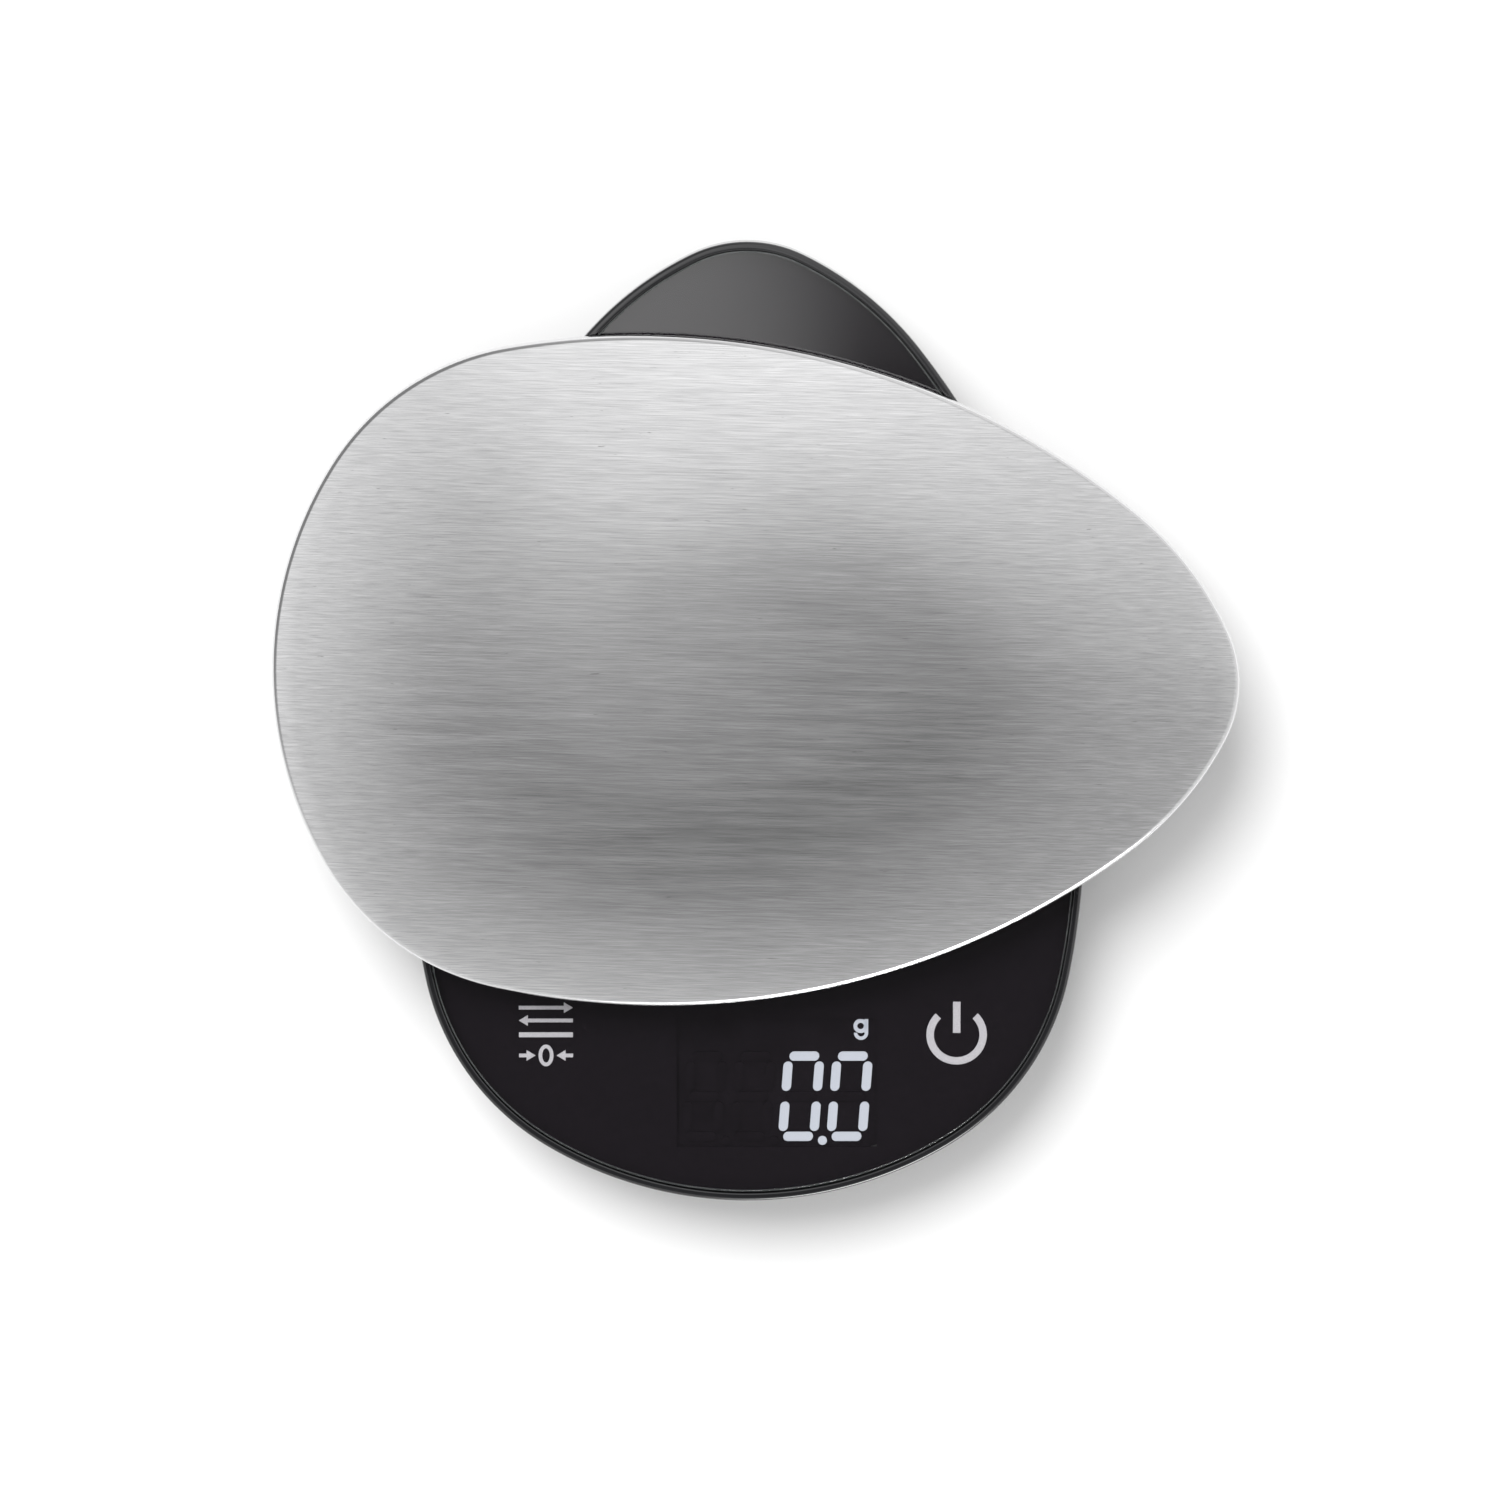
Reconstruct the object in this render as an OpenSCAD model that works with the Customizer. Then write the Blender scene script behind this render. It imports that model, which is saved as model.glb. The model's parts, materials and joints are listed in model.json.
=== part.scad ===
/* [Outline] */
// Length of the platform, from its tip to its round end
plate_len = 190.5; // [186:0.5:196]
// Radius of the tip, on a platform 190.5 long
tip_r = 24.7; // [24:0.1:26]
// Radius of the shoulders beside the tip
shoulder_r = 64.6; // [62:0.1:67]
// Radius of the long flanks
flank_r = 154; // [148:0.5:160]
// Radius of the corners of the round end
haunch_r = 51.3; // [50:0.1:53]
// How far the base stands out past the closed platform, all round
base_margin = 0.6; // [0.3:0.1:1]

/* [Heights] */
// Height of the lower housing's flat underside
floor_z = 1.7; // [1.5:0.1:2]
// Height of the base's top rim
rim_z = 19.9; // [19.7:0.1:20.1]
// Height of the lower edge of the platform's skirt
skirt_z = 22.4; // [22:0.1:23]
// Height of the flat middle of the platform
plate_z = 28; // [27.8:0.1:28.4]

/* [Platform] */
// Turn of the platform from over the base to the open position
open_angle = 91.4; // [85:0.1:95]
// Swivel axis, right of the base's middle
pivot_x = 6.2; // [5:0.1:7]
// Swivel axis, ahead of the base's middle towards the tip
pivot_y = 4.6; // [4:0.1:6]
// Thickness of the steel plate
plate_thick = 0.8; // [0.6:0.05:0.9]
// Fall of the plate's crown from its flat middle to its rolled edge
crown_h = 1.2; // [0.6:0.1:1.4]
// Size of the flat middle, as a share of the outline
flat_share = 0.3; // [0.2:0.05:0.4]
// Radius of the plate's rolled edge
roll_r = 1; // [0.9:0.05:1.2]

/* [Panel] */
// Width of the housing's rim around the glass
rim_w = 1.55; // [1.4:0.05:1.8]
// Gap between the glass and the rim
glass_gap = 0.2; // [0.15:0.05:0.3]
// Thickness of the glass
glass_thick = 2; // [1.8:0.1:2]
// Distance of the touch symbols from the round end of the base
symbol_inset = 33.4; // [32:0.1:35]
// Power symbol's distance from the base's middle line
power_x = 41.9; // [41:0.1:43]
// Unit and zero symbol's distance from the base's middle line
unit_x = 40.2; // [39:0.1:42]
// Distance of the readout's middle from the round end of the base
digit_inset = 20.8; // [20.5:0.1:22]
// Height of a digit
digit_h = 18.2; // [17:0.1:19]
// Step from one digit to the next
digit_pitch = 9.7; // [9:0.1:10.5]
// Slant of the digits, in degrees
digit_slant = 4.3; // [0:0.1:8]

/* [Battery door] */
// Thickness of the battery door
door_thick = 1.7; // [1.5:0.1:1.8]
// Diameter of one cell
cell_d = 10.5; // [10:0.1:10.5]

/* [Hidden] */
$fn = 48;
eps = 0.01;
black = [0.07, 0.07, 0.08];
steel = [0.78, 0.78, 0.79];

// ---- Outline: nine arcs that meet tangent to tangent, the same on both sides of the long axis ----

// Direction of the outward normal, from the tip's, where each arc of one side ends
arc_end = [25.8, 51.7, 101, 149, 180];
arc_start = concat([0], arc_end);
// The round end's radius closes the outline on the axis
heel_r = haunch_r + ((tip_r - shoulder_r) * sin(arc_end[0])
                   + (shoulder_r - flank_r) * sin(arc_end[1])
                   + (flank_r - haunch_r) * sin(arc_end[2])) / sin(arc_end[3]);
arc_r = [tip_r, shoulder_r, flank_r, haunch_r, heel_r];
// Longest side of the polygon that stands for the outline
facet_len = 4.2;

function normal(t) = [sin(t), cos(t)];
// Middle of arc i, measured from the middle of the tip's arc
function arc_middle(i) =
    i == 0 ? [0, 0] : arc_middle(i - 1) + (arc_r[i - 1] - arc_r[i]) * normal(arc_end[i - 1]);
middles = [for (i = [0:4]) arc_middle(i)];
raw_len = tip_r - middles[4][1] + heel_r;
raw_mid = [0, tip_r - raw_len / 2];
outline_scale = plate_len / raw_len;

function arc_sides(i) = ceil(arc_r[i] * (arc_end[i] - arc_start[i]) * PI / 180 / facet_len);
half_turns = [for (i = [0:4]) for (k = [0:arc_sides(i) - 1])
              arc_start[i] + k * (arc_end[i] - arc_start[i]) / arc_sides(i)];
// Arc that holds the normal direction t of one side
function arc_at(t, i = 0) = i == 4 || t < arc_end[i] ? i : arc_at(t, i + 1);
// Point of the right side with the normal direction t, drawn in by inset
function side_point(t, inset) =
    outline_scale * (middles[arc_at(t)] - raw_mid) + (outline_scale * arc_r[arc_at(t)] - inset) * normal(t);
function outline(inset) = concat(
    [for (t = half_turns) side_point(t, inset)],
    [side_point(180, inset)],
    [for (k = [len(half_turns) - 1:-1:1]) let (p = side_point(half_turns[k], inset)) [-p[0], p[1]]]);
points_around = 2 * len(half_turns);

// Extruded outline between two heights
module slab(inset, z0, z1) {
    translate([0, 0, z0]) linear_extrude(z1 - z0) polygon(outline(inset));
}

// Extruded band of the outline between two insets
module band(outer, inner, z0, z1) {
    difference() {
        slab(outer, z0, z1);
        slab(inner, z0 - 1, z1 + 1);
    }
}

// Smooth shell through rings of [inset, height, share], from its upper face to its lower face.
// A ring with a share is the outline shrunk to that share about its middle.
module shell(rings) {
    n = points_around;
    points = [for (r = rings) let (share = len(r) > 2 ? r[2] : 1)
              for (p = outline(r[0])) [share * p[0], share * p[1], r[1]]];
    last = (len(rings) - 1) * n;
    sides = [for (a = [0:len(rings) - 2]) for (k = [0:n - 1])
             [a * n + k, (a + 1) * n + k, (a + 1) * n + (k + 1) % n, a * n + (k + 1) % n]];
    upper = [for (k = [0:n - 1]) k];
    lower = [for (k = [n - 1:-1:0]) last + k];
    polyhedron(points, concat([upper], sides, [lower]), convexity = 4);
}

// ---- Placing ----

pivot = [pivot_x, pivot_y];
base_len = plate_len + 2 * base_margin;
front_y = -base_len / 2;
back_y = base_len / 2;

function turned(p, a) = [p[0] * cos(a) - p[1] * sin(a), p[0] * sin(a) + p[1] * cos(a)];
open_outline = [for (p = outline(0)) pivot + turned(p - pivot, -open_angle)];
base_outline = outline(-base_margin);
function low(points, axis) = min([for (p = points) p[axis]]);
function high(points, axis) = max([for (p = points) p[axis]]);
both = concat(open_outline, base_outline);
box_middle = [(low(both, 0) + high(both, 0)) / 2, (low(both, 1) + high(both, 1)) / 2, 0];

// The origin is the bottom centre of the whole object's box at rest
module placed() {
    translate(-box_middle) children();
}

// Pieces of the platform are drawn closed, over the base, and turned open
module on_platform() {
    placed() translate(pivot) rotate([0, 0, -open_angle]) translate(-pivot) children();
}

// ---- Heights ----

split_z = 12.4;                        // parting line between the two housings
inner_floor_z = floor_z + 2;
glass_z = rim_z - 0.3 - glass_thick;   // underside of the glass
mask_thick = 0.2;
mask_z = glass_z - mask_thick;
tape_thick = 0.4;
deck_z = mask_z - tape_thick;          // top of the cover's deck
deck_thick = 1.4;
deck_under_z = deck_z - deck_thick;
beam_z = 6;                            // underside of the load cell
beam_h = 8;
beam_top_z = beam_z + beam_h;
flange_z = beam_top_z + 1;             // underside of the spindle's flange
flange_top_z = flange_z + 2;
board_thick = 1.6;
board_z = 8.6;                         // underside of the circuit board
board_top_z = board_z + board_thick;

// ---- Housing ----

wall = 2;
foot_r = 6;
feet = [[-42, front_y + 35], [42, front_y + 35], [-39, 44], [39, 44]];
screw_points = [[-52, -36], [52, -36], [-45, 26], [45, 26], [0, back_y - 18]];
screw_r = 1.5;
hole_slack = 0.05;
foot_pocket = 0.7;

// The side turns under to the flat bottom in a quarter of an ellipse
module lower_outer() {
    side = 0.3 - base_margin;
    under_w = 5.6;
    turn_z = 8.4;
    steps = 8;
    edge = [for (k = [0:steps]) let (a = 90 * k / steps)
            [under_w - (under_w - side) * cos(a), turn_z - (turn_z - floor_z) * sin(a)]];
    shell(concat([[side, split_z - 0.2]], edge));
}

module base_tray() {
    lip_top_z = split_z + 1.6;
    color(black) placed() difference() {
        union() {
            difference() {
                lower_outer();
                slab(wall, 6.6, split_z + 1);
                slab(5, inner_floor_z, 6.6 + eps);
            }
            band(1.7, 1.7 + wall, 9, lip_top_z);
            screw_bosses();
            beam_boss();
            overload_post();
            bay_walls();
        }
        screw_and_foot_holes();
        beam_screw_holes();
        bay_hollow();
    }
}

module screw_bosses() {
    for (p = screw_points) translate([p[0], p[1], inner_floor_z - eps]) cylinder(r = 4.5, h = 3.3);
}

module screw_and_foot_holes() {
    for (p = screw_points) translate([p[0], p[1], 0]) {
        cylinder(r = 3, h = 4.5);
        cylinder(r = screw_r + 0.2, h = 9);
    }
    for (p = feet) translate([p[0], p[1], 0]) cylinder(r = foot_r + hole_slack, h = floor_z + foot_pocket);
}

module rubber_feet() {
    foot_h = floor_z + foot_pocket - hole_slack;
    color([0.12, 0.12, 0.12]) placed() for (p = feet) translate([p[0], p[1], 0])
        rotate_extrude() polygon([[0, 0], [foot_r - 0.7, 0], [foot_r, 0.7], [foot_r, foot_h], [0, foot_h]]);
}

module housing_screws() {
    color(steel) placed() for (p = screw_points) translate([p[0], p[1], 2.6]) difference() {
        union() {
            cylinder(r = 2.8, h = 1.8);
            cylinder(r = screw_r, h = 10.4);
        }
        translate([0, 0, -eps]) cylinder(r = 1, h = 1.2, $fn = 6);
    }
}

module top_cover() {
    // Distance in from the side and height of each edge of the rounded rim, top to bottom
    rim = [[0.6, rim_z], [0.28, rim_z - 0.1], [0.08, rim_z - 0.3], [0, rim_z - 0.6],
           [0, split_z + 0.35], [0.35, split_z]];
    color(black) placed() difference() {
        union() {
            difference() {
                shell([for (r = rim) [r[0] - base_margin, r[1]]]);
                slab(rim_w - base_margin, deck_z, rim_z + 1);
                slab(1.5, split_z - 1, deck_under_z);
            }
            for (p = screw_points) translate([p[0], p[1], 7.2])
                cylinder(r = 3.6, h = deck_under_z - 7.2 + eps);
            for (p = board_holes) translate([p[0], p[1], board_top_z])
                cylinder(r = 2.6, h = deck_under_z - board_top_z + eps);
        }
        for (p = screw_points) translate([p[0], p[1], 6]) cylinder(r = screw_r + hole_slack, h = 7.4);
        for (p = board_holes) translate([p[0], p[1], 9]) cylinder(r = 1.05, h = 5);
        translate([pivot[0], pivot[1], 10]) cylinder(r = hub_hole_r + 0.7, h = 10);
        module_box(0.5, 10, deck_z + 1);
        for (x = [-unit_x, power_x]) translate([x, symbol_y, 10]) cylinder(r = 6.5, h = 10);
    }
}

// ---- Panel ----

glass_inset = rim_w + glass_gap - base_margin;
symbol_y = front_y + symbol_inset;
readout_y = front_y + digit_inset;
readout_x = 6;                         // middle of the four digits
unit_sign = [22.7, 13.6];              // from the base's middle line and the digits' middle
hub_hole_r = 16.8;

// Block of the readout's body, grown by edge on all four sides
module module_box(edge, z0, z1) {
    w = 4 * digit_pitch + 2.4 + 2 * edge;
    below = digit_h / 2 + 1.7 + edge;
    above = unit_sign[1] + 2.8 + edge;
    translate([readout_x - w / 2, readout_y - below, z0]) cube([w, below + above, z1 - z0]);
}

module glass_panel() {
    chamfer = 0.25;
    color([0.05, 0.05, 0.06, 0.9]) placed() difference() {
        shell([[glass_inset + chamfer, glass_z + glass_thick], [glass_inset, glass_z + glass_thick - chamfer],
               [glass_inset, glass_z]]);
        translate([pivot[0], pivot[1], 10]) cylinder(r = hub_hole_r, h = 20);
    }
}

module panel_mask() {
    color([0.02, 0.02, 0.02]) placed() difference() {
        slab(glass_inset + 0.1, mask_z, glass_z);
        translate([pivot[0], pivot[1], 10]) cylinder(r = hub_hole_r, h = 20);
        module_box(-0.6, 10, 20);
        translate([0, 0, mask_z - 1]) linear_extrude(3) legend_shapes();
    }
}

module panel_legends() {
    color([0.75, 0.75, 0.76]) placed() translate([0, 0, mask_z]) linear_extrude(mask_thick) legend_shapes();
}

module legend_shapes() {
    translate([power_x, symbol_y]) power_symbol();
    translate([-unit_x, symbol_y]) swap_and_zero_symbol();
}

// Ring open at the back, with a bar through the gap
module power_symbol() {
    ring_r = 6.05;
    stroke = 1.5;
    gap = 44;
    difference() {
        circle(r = ring_r);
        circle(r = ring_r - stroke);
        polygon(concat([[0, 0]], [for (side = [-1, 1]) 2 * ring_r * [side * sin(gap), cos(gap)]]));
    }
    translate([-stroke / 2, 0.4]) square([stroke, 6.3]);
}

// Above the bar two opposed arrows for changing the unit, below it two arrows that meet at zero
module swap_and_zero_symbol() {
    bar = [10.8, 1];
    row = 4.2;
    square(bar, center = true);
    for (side = [-1, 1]) {
        translate([0, row + side * 1.3]) scale([side, 1]) arrow(bar[0]);
        translate([side * 3.75, -row]) scale([-side, 1]) arrow(3.3);
    }
    translate([0, -row]) difference() {
        scale([1.5, 2.2]) circle(r = 1);
        scale([0.75, 1.45]) circle(r = 1);
    }
}

// Arrow to the right, centred
module arrow(length) {
    head = 1.8;
    stem = 0.76;
    translate([-length / 2, -stem / 2]) square([length - head + eps, stem]);
    polygon([[length / 2, 0], [length / 2 - head, 1.1], [length / 2 - head, -1.1]]);
}

module panel_tape() {
    color([0.2, 0.2, 0.2]) placed() {
        band(glass_inset + 0.4, glass_inset + 4.4, deck_z, mask_z);
        translate([pivot[0], pivot[1], deck_z]) difference() {
            cylinder(r = hub_hole_r + 5, h = tape_thick);
            translate([0, 0, -1]) cylinder(r = hub_hole_r + 1.2, h = 3);
        }
    }
}

// ---- Readout ----

segment_thick = 0.3;
module_top_z = mask_z - 0.2;
stroke_w = 1.85;
digit_w = 8.1;

module display_module() {
    color(black) placed() module_box(0, board_top_z, module_top_z - segment_thick);
}

// One segment from a to b with round ends, slanted with its digit
module segment(a, b) {
    turn = atan2(b[1] - a[1], b[0] - a[0]);
    end_sides = 8;
    end = [for (k = [0:end_sides]) let (t = turn - 90 + 180 * k / end_sides)
           stroke_w / 2 * [cos(t), sin(t)]];
    corners = concat([for (p = end) b + p], [for (p = end) a - p]);
    polygon([for (p = corners) [p[0] + p[1] * tan(digit_slant), p[1]]]);
}

// Segments a to g of one digit, as pairs of end points around its middle
function segment_ends() =
    let (x = (digit_w - stroke_w) / 2, y = (digit_h - stroke_w) / 2, run = 2.05, m = y / 2)
    [[[-run, y], [run, y]], [[x, m + run], [x, m - run]], [[x, run - m], [x, -run - m]],
     [[run, -y], [-run, -y]], [[-x, -run - m], [-x, run - m]], [[-x, m - run], [-x, m + run]],
     [[-run, 0], [run, 0]]];

module digit(slot, segments) {
    translate([readout_x + (slot - 1.5) * digit_pitch, readout_y])
        for (s = segments) segment(segment_ends()[s][0], segment_ends()[s][1]);
}

module point_of(slot) {
    translate([readout_x + (slot - 1) * digit_pitch - 0.6, readout_y - digit_h / 2 + 0.1])
        circle(r = 0.9, $fn = 24);
}

// Small letter of the unit: a bowl, a stem on its right and a tail that hooks to the left
module gram_sign() {
    bowl_r = 1.42;
    bowl_y = 0.7;
    stroke = 0.76;
    translate([unit_sign[0], readout_y + unit_sign[1]]) {
        translate([0, bowl_y]) difference() {
            circle(r = bowl_r, $fn = 32);
            scale([0.8, 1]) circle(r = bowl_r - stroke, $fn = 24);
        }
        translate([bowl_r - stroke + 0.1, -bowl_y]) square([stroke, bowl_r + 2 * bowl_y]);
        translate([0.1, -bowl_y]) intersection() {
            difference() {
                circle(r = bowl_r, $fn = 32);
                circle(r = bowl_r - stroke + 0.1, $fn = 32);
            }
            translate([-bowl_r, -bowl_r]) square([2 * bowl_r, bowl_r + eps]);
        }
    }
}

module segment_layer() {
    translate([0, 0, module_top_z - segment_thick]) linear_extrude(segment_thick) children();
}

// The last two digits read zero, with a point between them and a gram sign behind
module digits_lit() {
    color([0.85, 0.93, 1]) placed() segment_layer() {
        digit(2, [0:5]);
        digit(3, [0:5]);
        point_of(2);
        gram_sign();
    }
}

module digits_dark() {
    color([0.25, 0.25, 0.27]) placed() segment_layer() {
        digit(0, [0:6]);
        digit(1, [0:6]);
        digit(2, [6]);
        digit(3, [6]);
        point_of(0);
        point_of(1);
    }
}

// ---- Circuit board ----

board_holes = [[-46, symbol_y + 9], [46, symbol_y + 9], [-27, front_y + 13], [33, front_y + 18]];

// The board follows the housing's round end
module main_board() {
    color([0.05, 0.25, 0.12]) placed() translate([0, 0, board_z]) linear_extrude(board_thick) difference() {
        intersection() {
            polygon(outline(4.6));
            translate([-50, front_y]) square([100, symbol_inset + 12]);
        }
        for (p = board_holes) translate(p) circle(r = 1.2, $fn = 24);
    }
}

module board_screws() {
    color(steel) placed() for (p = board_holes) translate([p[0], p[1], board_z - 1.2]) {
        cylinder(r = 2, h = 1.2);
        cylinder(r = 1, h = 5.6);
    }
}

// Packages on the underside of the board: [x, y from the round end, width, depth, height]
module board_chips() {
    chips = [[-8, 22, 9, 9, 1.4], [12, 20, 6, 5, 1.2], [26, 24, 4, 3, 1.2], [-26, 24, 3.2, 6, 2],
             [0, 34, 5, 2.4, 1]];
    color([0.1, 0.1, 0.1]) placed() for (c = chips)
        translate([c[0] - c[2] / 2, front_y + c[1] - c[3] / 2, board_z - c[4]]) cube([c[2], c[3], c[4]]);
}

module touch_pads() {
    color([0.25, 0.25, 0.26]) placed() for (x = [-unit_x, power_x])
        translate([x, symbol_y, board_top_z]) cylinder(r = 5, h = mask_z - board_top_z);
}

socket_y = symbol_y + 9;
gauge_socket_x = -22;
power_socket_x = 20;

module wire_sockets() {
    color([0.9, 0.88, 0.8]) placed() for (x = [gauge_socket_x, power_socket_x])
        translate([x - 4, socket_y - 2.5, board_z - 3.4]) cube([8, 5, 3.4]);
}

// ---- Load cell ----

beam_w = 12;
beam_len = 75;
beam_right = pivot[0] + 15;
beam_left = beam_right - beam_len;
fixed_holes = [beam_left + 5, beam_left + 20];
free_holes = [pivot[0] - 10, pivot[0] + 10];
tapped_r = 2;

module load_cell() {
    color([0.8, 0.8, 0.82]) placed() difference() {
        translate([beam_left, pivot[1] - beam_w / 2, beam_z]) cube([beam_len, beam_w, beam_h]);
        for (x = concat(fixed_holes, free_holes)) translate([x, pivot[1], beam_z - 1])
            cylinder(r = tapped_r + hole_slack, h = beam_h + 2);
        for (side = [-1, 1]) translate([gauge_x + side * 5.5, pivot[1], beam_z + beam_h / 2])
            rotate([90, 0, 0]) cylinder(r = 3, h = beam_w + 2, center = true);
        translate([gauge_x - 5.5, pivot[1] - beam_w, beam_z + beam_h / 2 - 1]) cube([11, 2 * beam_w, 2]);
    }
}

gauge_x = (fixed_holes[1] + free_holes[0]) / 2;

module gauge_potting() {
    color([0.93, 0.93, 0.9]) placed() for (z = [beam_z - 0.9, beam_top_z])
        translate([gauge_x - 9, pivot[1] - 5, z]) cube([18, 10, 0.9]);
}

module beam_boss() {
    translate([beam_left - 2, pivot[1] - 8, inner_floor_z - eps]) cube([27, 16, beam_z - inner_floor_z]);
}

module beam_screw_holes() {
    for (x = fixed_holes) translate([x, pivot[1], 0]) {
        cylinder(r = 4.2, h = 4.2);
        cylinder(r = tapped_r + 0.2, h = 9);
    }
}

// Stops the free end before the beam is bent too far
module overload_post() {
    translate([beam_right - 5, pivot[1], inner_floor_z - eps]) cylinder(r = 3.5, h = 1.9);
}

module load_cell_screws() {
    color(steel) placed() for (x = fixed_holes) translate([x, pivot[1], 2]) difference() {
        union() {
            cylinder(r = 3.7, h = 2.2);
            cylinder(r = tapped_r, h = 10.5);
        }
        translate([0, 0, -eps]) cylinder(r = 1.5, h = 1.4, $fn = 6);
    }
}

// Thin lead through a list of points
module lead(points, r) {
    for (k = [0:len(points) - 2]) hull() {
        translate(points[k]) sphere(r, $fn = 8);
        translate(points[k + 1]) sphere(r, $fn = 8);
    }
}

module gauge_wires() {
    color([0.7, 0.1, 0.1]) placed() for (k = [0:3]) {
        shift = 1.3 * (k - 1.5);
        lead([[gauge_x + shift, pivot[1] - 5.6, beam_z - 0.5],
              [gauge_x + shift, pivot[1] - 9, 4.6],
              [gauge_socket_x + shift, socket_y + 8, 4.6],
              [gauge_socket_x + shift, socket_y + 3.2, board_z - 1.7]], 0.5);
    }
}

// ---- Battery bay ----

bay_x = 0;
bay_y = back_y - 53;
bay_in = [51, 3 * cell_d + 1.5];       // room for three cells side by side
door_size = [55.6, 37.6];
door_gap = 0.2;
bay_top_z = inner_floor_z + cell_d + 0.5;
hinge_y = bay_y - door_size[1] / 2 + 1.2;
hinge_z = floor_z + 1.2;
bead_r = 1.2;
pin_r = 0.7;

module bay_block(size, z0, z1) {
    translate([bay_x - size[0] / 2, bay_y - size[1] / 2, z0]) cube([size[0], size[1], z1 - z0]);
}

module bay_walls() {
    bay_block([62, 44], floor_z + 0.5, inner_floor_z + 1.5);
    bay_block([bay_in[0] + 3.2, bay_in[1] + 3.2], floor_z + 0.5, bay_top_z + 0.8);
}

module bay_hollow() {
    opening = [door_size[0] + 2 * door_gap, door_size[1] + 2 * door_gap];
    door_top_z = floor_z + door_thick + 0.15;
    bay_block(bay_in, 0, bay_top_z);
    bay_block(opening, 0, door_top_z);
    // Room for the hinge bead, and holes for its pins
    translate([bay_x, hinge_y, hinge_z]) rotate([0, 90, 0]) {
        cylinder(r = bead_r + door_gap, h = opening[0], center = true);
        cylinder(r = pin_r + hole_slack, h = opening[0] + 3.4, center = true);
    }
    // Room for the catch, and for a fingernail
    translate([bay_x - 7, bay_y + bay_in[1] / 2 - 1, floor_z + 1])
        cube([14, opening[1] / 2 - bay_in[1] / 2 + 1.9, 4.5]);
    translate([bay_x, bay_y + opening[1] / 2 + 1, 0]) cylinder(r = 6, h = floor_z + 0.7);
}

module battery_door() {
    plate_y = bay_y + door_size[1] / 2;
    color(black) placed() difference() {
        union() {
            translate([bay_x - door_size[0] / 2, hinge_y, floor_z])
                cube([door_size[0], plate_y - hinge_y, door_thick]);
            translate([bay_x, hinge_y, hinge_z]) rotate([0, 90, 0]) {
                cylinder(r = bead_r, h = door_size[0], center = true);
                cylinder(r = pin_r, h = door_size[0] + 3, center = true);
            }
            // Sprung tongue with its catch
            translate([bay_x - 5, plate_y - 2, floor_z + door_thick - eps]) cube([10, 1.2, 2.4]);
            translate([bay_x - 5, plate_y - 0.9, floor_z + door_thick + 1.2]) cube([10, 0.7, 1.2]);
            // Ribs that press on the cells
            for (x = [-14, 14]) translate([bay_x + x - 0.6, hinge_y + 4, floor_z + door_thick - eps])
                cube([1.2, plate_y - hinge_y - 9, 0.35]);
        }
        // Slots that free the tongue
        for (x = [-6.5, 5.5]) translate([bay_x + x, plate_y - 9, 0]) cube([1, 10, 6]);
    }
}

cell_rows = [for (k = [-1:1]) bay_y + k * (cell_d + 0.3)];
cell_z = floor_z + door_thick + 0.4 + cell_d / 2;
cell_len = 43.3;

function cell_side(k) = k == 1 ? -1 : 1;

module battery_cells() {
    color([0.2, 0.35, 0.3]) placed() for (k = [0:2])
        translate([bay_x - cell_side(k) * 1.2, cell_rows[k], cell_z])
            rotate([0, 90 * cell_side(k), 0]) {
                cylinder(r = cell_d / 2, h = cell_len, center = true);
                translate([0, 0, cell_len / 2 - eps]) cylinder(r = 1.9, h = 1);
            }
}

// Contact plates stand at both ends of the bay, and some of them join two cells
module battery_plates() {
    plates = [[-1, cell_rows[0] - 4, 8], [-1, cell_rows[1] - 4, cell_d + 8.3],
              [1, cell_rows[0] - 4, cell_d + 8.3], [1, cell_rows[2] - 4, 8]];
    color([0.75, 0.73, 0.68]) placed() for (p = plates)
        translate([bay_x + p[0] * (bay_in[0] / 2 - 0.25) - 0.2, p[1], cell_z - 4]) cube([0.4, p[2], 8]);
}

// Coil of wire along +Z that narrows from r1 to r2
module cone_coil(r1, r2, h, turns, wire_r) {
    steps = 14 * turns;
    sides = 6;
    points = [for (k = [0:steps]) for (j = [0:sides - 1])
              let (a = 360 * turns * k / steps, b = 360 * j / sides)
              let (r = r1 + (r2 - r1) * k / steps + wire_r * cos(b))
              [r * cos(a), r * sin(a), wire_r + (h - 2 * wire_r) * k / steps + wire_r * sin(b)]];
    around = [for (k = [0:steps - 1]) for (j = [0:sides - 1]) let (n = (j + 1) % sides)
              [k * sides + j, k * sides + n, (k + 1) * sides + n, (k + 1) * sides + j]];
    first = [for (j = [sides - 1:-1:0]) j];
    last = [for (j = [0:sides - 1]) steps * sides + j];
    polyhedron(points, concat(around, [first], [last]), convexity = 6);
}

// Each spring narrows from its plate to the flat end of its cell
module battery_springs() {
    room = bay_in[0] / 2 - 0.5 - cell_len / 2 - 1.2;
    color([0.75, 0.73, 0.68]) placed() for (k = [0:2])
        translate([bay_x - cell_side(k) * (bay_in[0] / 2 - 0.5), cell_rows[k], cell_z])
            rotate([0, 90 * cell_side(k), 0]) cone_coil(3.6, 2, room, 3, 0.3);
}

module battery_wires() {
    color([0.1, 0.1, 0.1]) placed() for (side = [-1, 1]) {
        out_x = bay_x + 26 + side * 1.2;
        lead([[power_socket_x + side, socket_y + 3.2, board_z - 1.7],
              [power_socket_x + side, socket_y + 8, 5],
              [out_x + 4, pivot[1] - 12, 5],
              [out_x + 4, bay_y - 26, 7],
              [out_x - 4, bay_y - 19.4, 10]], 0.5);
    }
}

// ---- Swivel ----

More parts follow.
